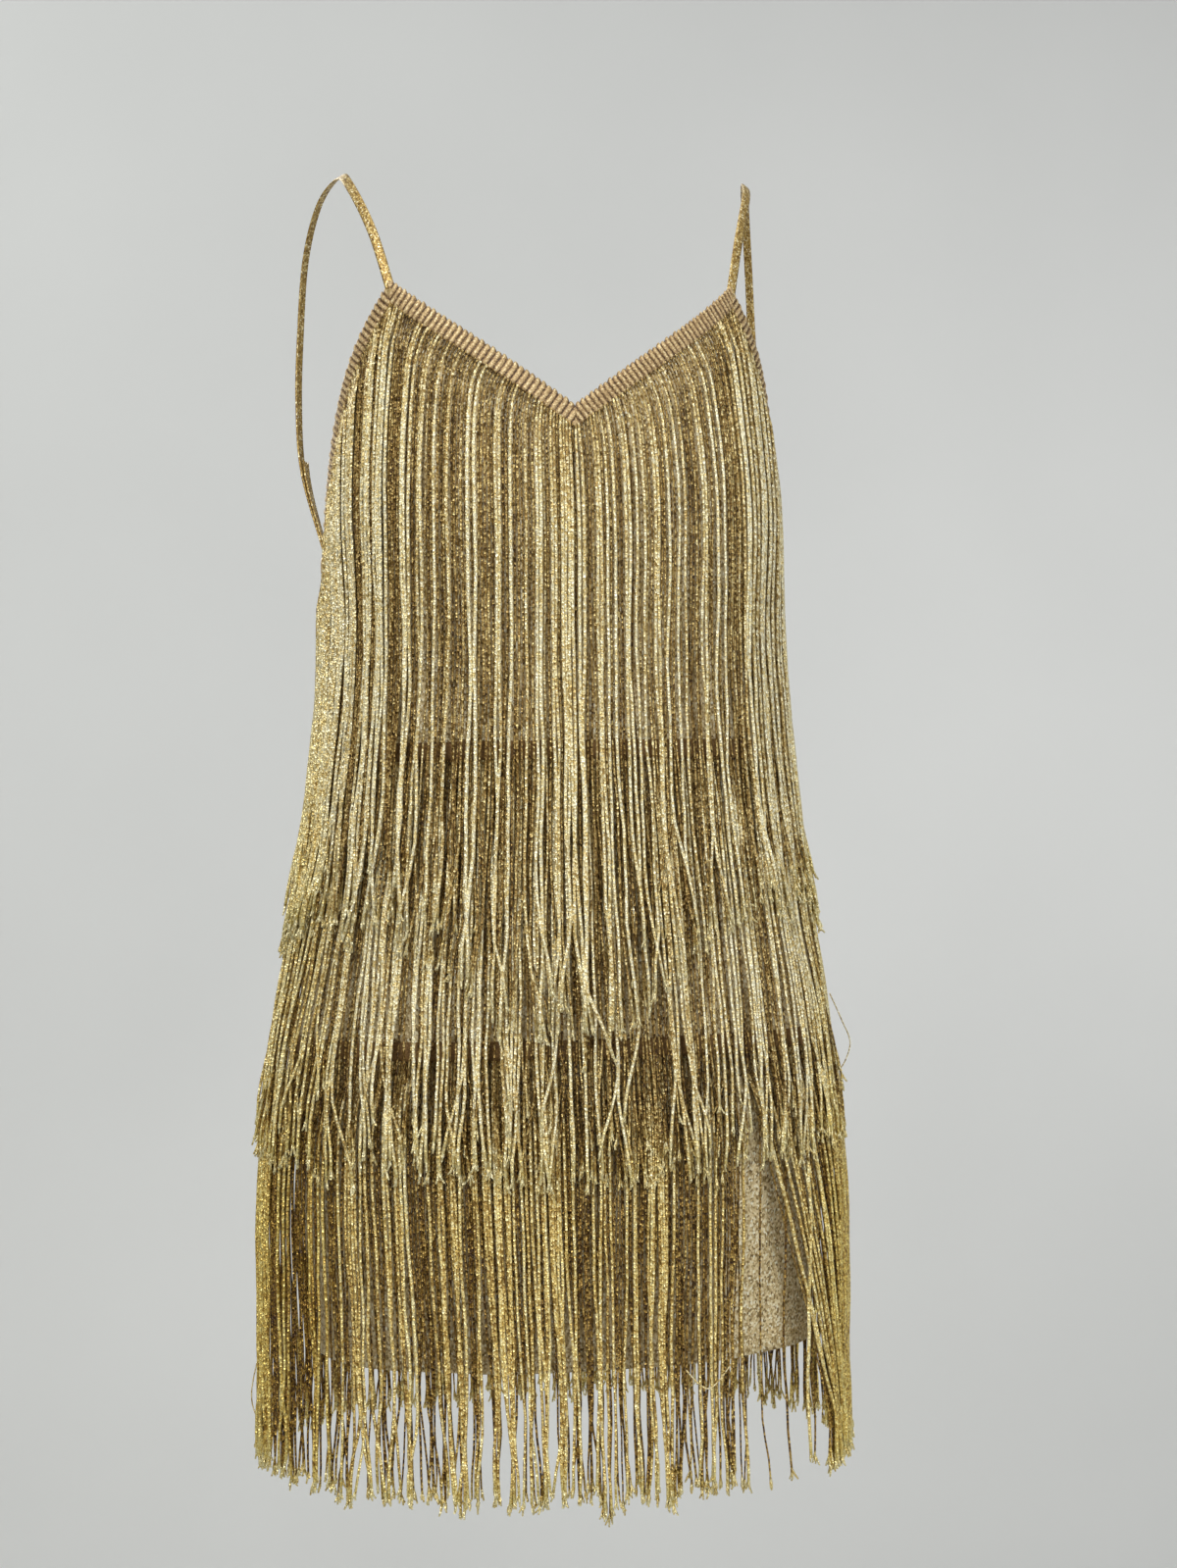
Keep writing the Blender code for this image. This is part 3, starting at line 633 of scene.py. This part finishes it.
def start_discs(bm, count, sides):
    """This many separate discs: one circle, doubled until there are enough."""
    corners = bmesh.ops.create_circle(bm, cap_ends=True, segments=sides, radius=1)["verts"]
    discs = [corners[0].link_faces[0]]
    while len(discs) < count:
        copied = bmesh.ops.duplicate(bm, geom=discs[: count - len(discs)])["geom"]
        discs += [item for item in copied if isinstance(item, bmesh.types.BMFace)]
    return discs


def grow_tubes(bm, discs, rings, tints, golds_and_shades):
    """A closed tube through each row of rings: a disc at its root, extruded level by level."""
    tags = [bm.verts.layers.int.get(tag) for tag in ("tube", "corner")]
    tint_layer, gold_and_shade_layer = (bm.verts.layers.float.get(tag) for tag in ("tint", "gold_and_shade"))
    places = rings.tolist()
    for tube, (disc, tint, gold_and_shade) in enumerate(zip(discs, tints, golds_and_shades)):
        for corner, vert in enumerate(disc.verts):
            vert.co = places[tube][0][corner]
            vert[tags[0]] = tube
            vert[tags[1]] = corner
            vert[tint_layer] = tint[0]
            vert[gold_and_shade_layer] = gold_and_shade[0]
    for level in range(1, rings.shape[1]):
        discs = bmesh.ops.extrude_discrete_faces(bm, faces=discs)["faces"]
        for disc in discs:
            tube = disc.verts[0][tags[0]]
            for vert in disc.verts:
                vert.co = places[tube][level][vert[tags[1]]]
                vert[tint_layer] = tints[tube][level]
                vert[gold_and_shade_layer] = golds_and_shades[tube][level]


def close_roots(bm):
    """Fills the open root of each tube with a face that points out."""
    open_roots = [edge for edge in bm.edges if edge.is_boundary]
    for face in bmesh.ops.holes_fill(bm, edges=open_roots, sides=0)["faces"]:
        side = next(other for other in face.edges[0].link_faces if other != face)
        face.normal_update()
        if face.normal.dot(side.calc_center_median() - face.calc_center_median()) > 0:
            face.normal_flip()


def hang_fringe(name, roots, aside, hang, tips, bend, seed, ragged=1.0, loose=1.0, clump=0.3, painted_shading=0.0,
                stout=1.0, sweep=None):
    """Strands that leave their roots partly sideways, bend to the vertical and hang to the tips.
    Each ends in a small brush of cut yarn."""
    rng = np.random.default_rng(seed)
    count = len(roots)
    per_degree = body_frame(roots[:, 0], roots[:, 1])[2]
    tip = np.interp(short_turn(roots[:, 0]), tips[:, 0], tips[:, 1])
    knots = np.arange(-4, count + 8, 4)
    group = np.interp(np.arange(count), knots, rng.normal(0, 1, len(knots)))
    tip = tip + (TIP_UNEVEN * rng.normal(0, 1, count) + GROUP_UNEVEN * group) * loose
    tip = tip + TIP_SHORTER * ragged * rng.random(count) ** 1.5 * (rng.random(count) < 0.5)
    length = roots[:, 1] - tip
    start = np.array(ROOT_STEPS)
    rest = np.linspace(0, 1, LEVELS + 1)[1:]
    path = np.hstack([np.tile(start, (count, 1)), start[-1] + (length[:, None] - start[-1]) * rest])
    faded = 1 - np.exp(-path / bend)
    shallow = 1 - np.sqrt(np.maximum(1 - aside**2, 0))
    height = roots[:, 1:] - (path - bend * shallow[:, None] * faded)
    share = path / length[:, None]
    lean = aside[:, None] * bend * faded
    for wave in WAVES:
        phase = rng.random((count, 1)) * 2 * np.pi
        size = wave * WAVE_SIZE * (0.5 + rng.random((count, 1)))
        lean = lean + size * np.sin(2 * np.pi * path / wave + phase) * share
    lean = lean + GROUP_LEAN * loose * group[:, None] * share**2
    last_part = ease(length[:, None] - path, TIP_CURL, 0)
    lean = lean + TIP_LEAN * loose * rng.normal(0, 1, (count, 1)) * last_part
    turn = roots[:, :1] + lean / per_degree[:, None]
    gathered = roots[:, 0].copy()
    here = 0
    while here < count:
        size = int(rng.integers(2, 8))
        gathered[here : here + size] = roots[here : here + size, 0].mean() + rng.normal(0, 0.3)
        here += size
    turn = turn + (gathered - roots[:, 0])[:, None] * clump * ease(share, 0.35, 1)
    if sweep is not None:
        turn = turn + sweep(roots[:, :1], share, rng.random((count, 1)))
    beside = np.sin(np.radians(turn)) ** 2
    side = np.where(short_turn(turn) > 0, read_rows(hang, height, LEFT), read_rows(hang, height, RIGHT))
    stand = read_rows(hang, height, MIDDLE) * (1 - beside) + side * beside
    lit_in_front = rng.random((count, 1)) < BRIGHT_SHARE
    layer = np.where(lit_in_front, 0.75 + 0.35 * rng.random((count, 1)), 0.5 * rng.random((count, 1)))
    thick = (np.where(lit_in_front, BRIGHT_RADIUS, DULL_RADIUS) + RADIUS_SPREAD * rng.random((count, 1))) * stout
    settle = ease(path, 0, 0.03)
    wobble = 0.0006 * np.sin(2 * np.pi * path / 0.07 + rng.random((count, 1)) * 6.3) * share
    lift = TIP_LIFT * loose * rng.random((count, 1)) ** 2 * last_part
    out = ROOT_OUT + (stand + thick + LAYER_DEPTH * layer + wobble + lift - ROOT_OUT) * settle
    centres = on_body(turn, height, np.maximum(out, thick + 0.0003))
    outwards = body_frame(turn, height)[1]
    patchy = np.sin(2 * np.pi * path / 0.11 + rng.random((count, 1)) * 6.3)
    # Painted highlight on the strands in front and painted shade on those behind, with a random spread of tone.
    tint = np.where(lit_in_front, FRONT_LIT_TINT, BACK_SHADED_TINT) + TINT_SPREAD * rng.normal(0, 1, (count, 1))
    # Painted light and shade by tier: this offset lightens or darkens a whole tier for how light falls from
    # above.
    tint = tint + TINT_PATCHES * patchy + painted_shading
    cut_end = CUT_PALE * ease(length[:, None] - path, CUT_LONG, CUT_SHORT)
    # Painted shade: each strand is darker over its first few centimetres, under the tape or the tier above it.
    # The cut end is paler.
    tint = np.clip(tint * (0.62 + 0.38 * ease(path, 0.005, 0.07)) + cut_end, 0, 1)
    bm = bmesh.new()
    for tag in ("tube", "corner"):
        bm.verts.layers.int.new(tag)
    for tag in ("tint", "gold_and_shade"):
        bm.verts.layers.float.new(tag)
    discs = start_discs(bm, count, STRAND_SIDES)
    wisp_discs = start_discs(bm, count * WISPS, WISP_SIDES)
    radii = thick * (0.72 + 0.28 * ease(path, 0.005, 0.05)) * np.where(share > 0.985, 0.95, 1.0)
    sides = ease(np.abs(centres[..., 0]), 0.145, 0.175)
    # Painted shade: the strands are multiplied darker lower down and out at the flanks. The cut ends get more
    # of it for their warmer gold, and every strand gets a little as its own colour.
    gold_and_shade = np.clip(0.15 + 0.45 * ease(-height, 0.60, 0.70) + 0.40 * sides + 0.6 * cut_end, 0, 1)
    grow_tubes(bm, discs, tube_rings(centres, outwards, radii, STRAND_SIDES), tint, gold_and_shade)
    end = centres[:, -1]
    heading = end - centres[:, -2]
    heading /= np.linalg.norm(heading, axis=-1, keepdims=True)
    wisps = []
    for _ in range(WISPS):
        splay = rng.normal(0, WISP_SPLAY, (count, 3))
        way = heading + splay
        way /= np.linalg.norm(way, axis=-1, keepdims=True)
        reach = 0.0025 + 0.0045 * rng.random((count, 1))
        bow = rng.normal(0, 0.0003, (count, 3))
        steps = [end - heading * 0.002, end + way * reach * 0.5 + bow, end + way * reach]
        wisps.append(np.stack(steps, axis=1))
    wisps = np.concatenate(wisps)
    facing = np.repeat(np.tile(outwards[:, -1], (WISPS, 1))[:, None], 3, axis=1)
    thin = np.tile(np.array(WISP_RADII), (len(wisps), 1))
    pale = np.tile(np.clip(tint[:, -3:] + 0.40, 0.9, 1.2), (WISPS, 1))
    wisp_gold_and_shade = np.tile(0.28 + gold_and_shade[:, -3:] * 0.4, (WISPS, 1))
    grow_tubes(bm, wisp_discs, tube_rings(wisps, facing, thin, WISP_SIDES), pale, wisp_gold_and_shade)
    close_roots(bm)
    return new_piece(name, bm, gold)


ROOT_INSET = TAPE_WIDTH - TAPE_PROUD - 0.0012
PEAK_EASE, FOOT_EASE = 0.035, 0.040


def square_off(roots):
    """How far to the side a strand sets off that leaves the tape square to its edge. Beside the
    peaks it is less, so that no strand runs off the cloth."""
    points = on_body(roots[:, 0], roots[:, 1])
    along = body_frame(roots[:, 0], roots[:, 1])[0]
    run = np.gradient(points, axis=0)
    level, rise = (run * along).sum(axis=1), run[:, 2]
    aside = rise / np.hypot(level, rise) * np.where(level > 0, 1, -1)
    from_peak, from_foot = PEAK - roots[:, 1], roots[:, 1] - roots[:, 1].min()
    by_peak = 0.25 + 0.75 * ease(from_peak, 0.010, PEAK_EASE)
    return aside * by_peak * (0.1 + 0.9 * ease(from_foot, 0, FOOT_EASE))


def top_fringe(name, first, last, pitch, bend, seed, replaced):
    """The strands under one tape, evenly spaced along it."""
    guide = edge_path(first, last, ROOT_INSET, 200)
    points = on_body(guide[:, 0], guide[:, 1])
    count = int(np.linalg.norm(np.diff(points, axis=0), axis=1).sum() / pitch)
    roots = edge_path(first, last, ROOT_INSET, count)
    aside = square_off(roots)
    # The top tier is painted a little lighter, as painted light from above.
    fringe = hang_fringe(name, roots, aside, TOP_HANG, TOP_TIPS, bend, seed, clump=0.2, painted_shading=0.05)
    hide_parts(replaced)


# Each stretch: its name, first and last station, pitch, how wide it bends, seed and the node it replaces
for stretch in (
    ("armhole_strands_right", 0, PEAK_RIGHT, 0.0020, 0.005, 11, "armhole_fringe_right"),
    ("neck_strands_right", PEAK_RIGHT, V_STATION, 0.0023, 0.013, 12, "neck_fringe_right"),
    ("neck_strands_left", V_STATION, PEAK_LEFT, 0.0023, 0.013, 13, "neck_fringe_left"),
    ("armhole_strands_left", PEAK_LEFT, SIDE_LEFT, 0.0020, 0.005, 14, "armhole_fringe_left"),
    ("back_strands", SIDE_LEFT, SIDE_RIGHT, 0.0021, 0.004, 15, "back_fringe"),
):
    top_fringe(*stretch)

# The two lower headings: flat woven braid, sewn round the body over the knit. Its own tan brown is painted
# dark brown as painted shade under the tier above. The waist tier's one shows between the strands as a dark
# line, and so does the hip tier's.
WAIST_HEADING, HIP_HEADING = -0.386, -0.576
HEADING_TALL, HEADING_OUT, HEADING_THICK = 0.013, 0.0010, 0.0006
TIER_PITCH, TIER_BEND = 0.0016, 0.005

shaded_heading, nodes, links, shader = new_material("heading_braid", 0.1, 0.7)
# Dark brown: the braid's tan darkened as painted shade.
tone = colour_ramp(nodes, ((0.3, paint(100, 72, 34)), (0.7, paint(146, 112, 62))))
links.new(mottled(nodes, links, 900, 1.0), tone.inputs["Fac"])
links.new(tone.outputs["Color"], shader.inputs["Base Color"])


def sew_round(name, top, tall, out, thick, material):
    """A closed strip round the body: an upright band grown from one ring, then pulled to place."""
    bm = bmesh.new()
    steps = 360
    bmesh.ops.create_circle(bm, segments=steps, radius=1)
    bm.edges.ensure_lookup_table()
    rows = 3
    edges = bm.edges[:]
    for row in range(rows):
        grown = bmesh.ops.extrude_edge_only(bm, edges=edges)["geom"]
        edges = [item for item in grown if isinstance(item, bmesh.types.BMEdge)]
        for vert in (item for item in grown if isinstance(item, bmesh.types.BMVert)):
            vert.co.z = -(row + 1)
    places = np.array([vert.co for vert in bm.verts])
    turn = np.degrees(np.arctan2(places[:, 0], -places[:, 1]))
    height = top + tall * places[:, 2] / rows
    for vert, point in zip(bm.verts, on_body(turn, height, out + crease(turn, height))):
        vert.co = point
    bmesh.ops.recalc_face_normals(bm, faces=bm.faces)
    wall = new_piece(name, bm, material).modifiers.new("strip", "SOLIDIFY")
    wall.thickness = thick
    wall.offset = -1


def ring_fringe(name, top, first, last, hang, tips, seed, **drape):
    """A tier's strands from one turn to another, below the heading whose top is given."""
    turns = np.linspace(first, last, 400)
    points = on_body(turns, np.full(400, top - HEADING_TALL))
    lengths = np.concatenate([[0], np.cumsum(np.linalg.norm(np.diff(points, axis=0), axis=1))])
    count = int(lengths[-1] / TIER_PITCH)
    turn = np.interp((np.arange(count) + 0.5) / count * lengths[-1], lengths, turns)
    roots = np.column_stack([turn, np.full(count, top - HEADING_TALL + 0.001)])
    return hang_fringe(name, roots, np.zeros(count), hang, tips, TIER_BEND, seed, **drape)


for name, top in (("waist_heading", WAIST_HEADING), ("hip_heading", HIP_HEADING)):
    sew_round(name, top, HEADING_TALL, HEADING_OUT, HEADING_THICK, shaded_heading)
waist_front = ring_fringe("waist_strands_front", WAIST_HEADING, -90, 90, WAIST_HANG, WAIST_TIPS, 21, stout=0.9)
waist_back = ring_fringe("waist_strands_back", WAIST_HEADING, 90, 270, WAIST_HANG, WAIST_TIPS, 22, stout=0.9)
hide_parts("waist_tier_fringe")
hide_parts("waist_tier_fringe")


PARTING, DRAWN_SHARE, DRAWN_TO, DRAWN_SPREAD = (37, 77), 0.82, 62, 0.42


def parted(turn, share, draw):
    """At the left front the lowest tier is parted, and most of its strands are drawn outwards."""
    drawn = (turn > PARTING[0]) & (turn < PARTING[1]) & (draw < DRAWN_SHARE)
    gathered = DRAWN_TO + (turn - PARTING[0]) * DRAWN_SPREAD
    return np.where(drawn, (gathered - turn) * np.clip(share * 1.15 - 0.03, 0, 1), 0)


# The hip tier is painted darker, as painted shade low on the dress.
hip_drape = {"ragged": 0.2, "loose": 0.6, "clump": 0.6, "painted_shading": -0.20, "stout": 0.9}
hip_front = ring_fringe(
    "hip_strands_front", HIP_HEADING, -90, 90, HIP_HANG, HIP_TIPS, 31, sweep=parted, **hip_drape
)
hip_back = ring_fringe("hip_strands_back", HIP_HEADING, 90, 270, HIP_HANG, HIP_TIPS, 32, **hip_drape)
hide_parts("hip_tier_fringe")
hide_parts("hip_tier_fringe")

# The hem: the knit turned up 13 mm, so it lies thicker there, and held by two rows of thread
# from a twin needle, in a pale thread close to the knit's colour.
HEM_FOLD, HEM_OUT, STITCH, STITCH_GAP = 0.013, 0.0011, 0.0026, 0.0009
THREAD_RADIUS = 0.00028
STITCH_ROWS = (0.0018, 0.0042)  # below the fold's upper edge
sew_round("hem_fold", HEM + HEM_FOLD, HEM_FOLD - 0.0002, HEM_OUT, CLOTH, knit)

thread, nodes, links, shader = new_material("sewing_thread", 0.0, 0.6)
tone = colour_ramp(nodes, ((0.3, paint(176, 152, 100)), (0.7, paint(206, 184, 132))))
links.new(mottled(nodes, links, 700, 1.0), tone.inputs["Fac"])
links.new(tone.outputs["Color"], shader.inputs["Base Color"])


def lay_threads(name, centres, outwards, radii, sides, material):
    """Short threads or long ones, each a closed tube along its own row of points."""
    bm = bmesh.new()
    for tag in ("tube", "corner"):
        bm.verts.layers.int.new(tag)
    for tag in ("tint", "gold_and_shade"):
        bm.verts.layers.float.new(tag)
    discs = start_discs(bm, len(centres), sides)
    even = np.full(centres.shape[:2], 0.8)
    grow_tubes(bm, discs, tube_rings(centres, outwards, radii, sides), even, even * 0.2)
    close_roots(bm)
    new_piece(name, bm, material)


hem_turns = np.linspace(-180, 180, 721)
hem_places = on_body(hem_turns, np.full(721, HEM + HEM_FOLD))
hem_lengths = np.concatenate([[0], np.cumsum(np.linalg.norm(np.diff(hem_places, axis=0), axis=1))])
stitch_count = int(hem_lengths[-1] / (STITCH + STITCH_GAP))
starts = np.arange(stitch_count) * hem_lengths[-1] / stitch_count
spots = starts[:, None] + STITCH * np.array([0, 0.2, 0.5, 0.8, 1.0])
turns = np.interp(spots, hem_lengths, hem_turns)
rise = np.array([-0.0003, 0.0004, 0.0005, 0.0004, -0.0003]) + HEM_OUT
rows = []
for below in STITCH_ROWS:
    heights = np.full(turns.shape, HEM + HEM_FOLD - below)
    rows.append((on_body(turns, heights, rise + crease(turns, heights)), body_frame(turns, heights)[1]))
centres, outwards = (np.concatenate(parts) for parts in zip(*rows))
stitch_radii = np.full(centres.shape[:2], THREAD_RADIUS)
lay_threads("hem_stitches", centres, outwards, stitch_radii, 4, thread)

# The straps: flat glitter ribbon, 6 mm wide, its long edges folded in. Each is caught under the
# tape at the peak, goes over the shoulder, and is turned back on itself behind.
ribbon, nodes, links, shader = new_material("strap_ribbon", 0.5, 0.42)
sparkle, dimple = glints(nodes, links, 0.0008, 1.3)
tone = colour_ramp(nodes, (
    (0.00, paint(96, 68, 24)),
    (0.35, paint(150, 120, 62)),
    (0.75, paint(188, 160, 92)),
    (0.92, paint(226, 206, 146)),
    (1.00, paint(252, 244, 210)),
))
# The ribbon's flecks: partly its own lurex, partly painted glints.
links.new(sparkle, tone.inputs["Fac"])
links.new(tone.outputs["Color"], shader.inputs["Base Color"])
bump(nodes, links, shader, dimple, 0.5, 0.0003)


STRAP_WIDTH, STRAP_THICK = 0.0060, 0.0012
STRAP_TURN, STRAP_STEPS, STRAP_OUT = 102, 90, 0.0006
TAIL_LENGTH, TAIL_DRIFT, TAIL_LIFT, PINKED = 0.075, 0.0025, -0.0016, 0.0011
SLIP, SLIP_BY = 0.008, 0.05
# The route over the shoulder: out, back and height
STRAP_ROUTE = (
    (0.1225, -0.0500, -0.0500),
    (0.1345, -0.0230, -0.0140),
    (0.1400, 0.0050, -0.0006),
    (0.1465, 0.0320, -0.0120),
    (0.1530, 0.0540, -0.0450),
    (0.1570, 0.0640, -0.0950),
    (0.1590, 0.0620, -0.1450),
    (0.1570, 0.0500, -0.1950),
)


def smooth_route(places, steps):
    """Even points along a smooth curve through the given ones."""
    ends = np.vstack([2 * places[0] - places[1], places, 2 * places[-1] - places[-2]])
    shares = np.linspace(0, 1, 13)[:-1, None]
    curve = []
    for a, b, c, d in zip(ends, ends[1:], ends[2:], ends[3:]):
        bend = (2 * a - 5 * b + 4 * c - d) * shares**2 + (3 * b - a - 3 * c + d) * shares**3
        curve.append(0.5 * (2 * b + (c - a) * shares + bend))
    curve = np.vstack(curve + [places[-1:]])
    lengths = np.concatenate([[0], np.cumsum(np.linalg.norm(np.diff(curve, axis=0), axis=1))])
    want = np.linspace(0, lengths[-1], steps + 1)
    return np.column_stack([np.interp(want, lengths, curve[:, k]) for k in range(3)])


def lay_ribbon(name, route, lift, drift, replaced, pinked=0.0):
    """A ribbon along a route, its face turned forwards in front, up on the shoulder, then back."""
    steps, across_steps = len(route) - 1, 6
    bm = bmesh.new()
    bmesh.ops.create_grid(bm, x_segments=steps, y_segments=across_steps, size=0.5)
    tangents = np.gradient(route, axis=0)
    tangents /= np.linalg.norm(tangents, axis=1, keepdims=True)
    facing = np.column_stack([
        route[:, 0] * 0.55,
        np.where(route[:, 1] < 0, 5.0, 1.3) * route[:, 1],
        0.10 * np.clip(1 + route[:, 2] / 0.06, 0, 1),
    ])
    across = np.cross(tangents, facing)
    across /= np.linalg.norm(across, axis=1, keepdims=True)
    facing = np.cross(across, tangents)
    for vert in bm.verts:
        i, share = round((vert.co.x + 0.5) * steps), vert.co.y * 2
        crown = 0.00035 * (1 - share**6)
        aside = share * STRAP_WIDTH / 2 + drift * (i / steps) ** 2
        notch = pinked * (1 - 2 * (round(vert.co.y * across_steps + across_steps / 2) % 2)) * (i == steps)
        vert.co = route[i] + across[i] * aside + facing[i] * (lift + crown) + tangents[i] * notch
    bm.normal_update()
    face = bm.faces[:][len(bm.faces) // 2]
    i = np.argmin(np.linalg.norm(route - np.array(face.calc_center_median()), axis=1))
    if face.normal.dot(Vector(facing[i])) < 0:
        bmesh.ops.reverse_faces(bm, faces=bm.faces)
    strap = new_piece(name, bm, ribbon)
    wall = strap.modifiers.new("ply", "SOLIDIFY")
    wall.thickness = STRAP_THICK
    wall.offset = 0
    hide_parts(replaced)


for side, sign, slip in (("right", -1, SLIP), ("left", 1, 0)):
    peak = on_body(sign * PEAK_TURN, PEAK, STRAP_OUT) - (0, 0, 0.004)
    middle = [
        (sign * (out + slip * float(ease(back, 0, SLIP_BY))), back, height) for out, back, height in STRAP_ROUTE
    ]
    foot = on_body(sign * STRAP_TURN, BACK_TOP + TAPE_PROUD + 0.0019, STRAP_OUT)
    route = smooth_route(np.vstack([peak, middle, foot]), STRAP_STEPS)
    lay_ribbon(f"shoulder_strap_{side}", route, 0, 0, f"strap_{side}")
    upwards = route[::-1]
    lengths = np.concatenate([[0], np.cumsum(np.linalg.norm(np.diff(upwards, axis=0), axis=1))])
    tail = upwards[lengths < TAIL_LENGTH]
    lay_ribbon(f"turned_end_{side}", tail, TAIL_LIFT, sign * TAIL_DRIFT, f"strap_tail_{side}", pinked=PINKED)

# Stray threads: single strands of the fringe's yarn that have slipped out, one in a loop at the
# left hip, one down the right side and one lying across the fringe at the hem.
STRAY_RADIUS = 0.00045
STRAYS = (
    ((0.1900, 0.004, -0.560), (0.1975, 0.002, -0.578), (0.2030, 0.000, -0.595),
     (0.1960, 0.001, -0.612), (0.1900, 0.003, -0.606)),
    ((-0.1990, -0.004, -0.742), (-0.2030, -0.003, -0.775), (-0.2110, -0.002, -0.8115),
     (-0.2080, -0.001, -0.830), (-0.2010, 0.000, -0.8427)),
    ((0.0560, -0.1378, -0.783), (0.0630, -0.1388, -0.791), (0.0700, -0.1390, -0.795),
     (0.0770, -0.1385, -0.790), (0.0850, -0.1365, -0.781)),
)
routes = np.array([smooth_route(np.array(points), 30) for points in STRAYS])
away = routes * (1, 1, 0)
away /= np.linalg.norm(away, axis=-1, keepdims=True)
stray_radii = np.full(routes.shape[:2], STRAY_RADIUS)
lay_threads("stray_threads", routes, away, stray_radii, STRAND_SIDES, gold)

# The straps' fixings: close stitches of pale sewing thread in a bar across each strap's foot in
# front. They go over the tape and through it, and hold the strap's end behind it.
BAR_STITCHES, BAR_PITCH, BAR_HALF = 7, 0.0006, 0.0026
bars, facings = [], []
for sign in (-1, 1):
    top = on_body(sign * PEAK_TURN, PEAK, TAPE_THICK + CORD_PROUD + TAPE_STAND)
    along, outward, _ = body_frame(sign * PEAK_TURN, PEAK)
    for k in range(BAR_STITCHES):
        middle = np.array(top) - (0, 0, 0.0035 + BAR_PITCH * k)
        lengthwise = np.linspace(-1, 1, 5)[:, None] * np.array(along) * BAR_HALF
        arch = np.array([-0.0007, 0.0002, 0.0003, 0.0002, -0.0007])[:, None] * np.array(outward)
        bars.append(middle + lengthwise + arch)
        facings.append(np.tile(np.array(outward), (5, 1)))
bars, facings = np.array(bars), np.array(facings)
lay_threads("strap_bars", bars, facings, np.full(bars.shape[:2], THREAD_RADIUS), 4, thread)
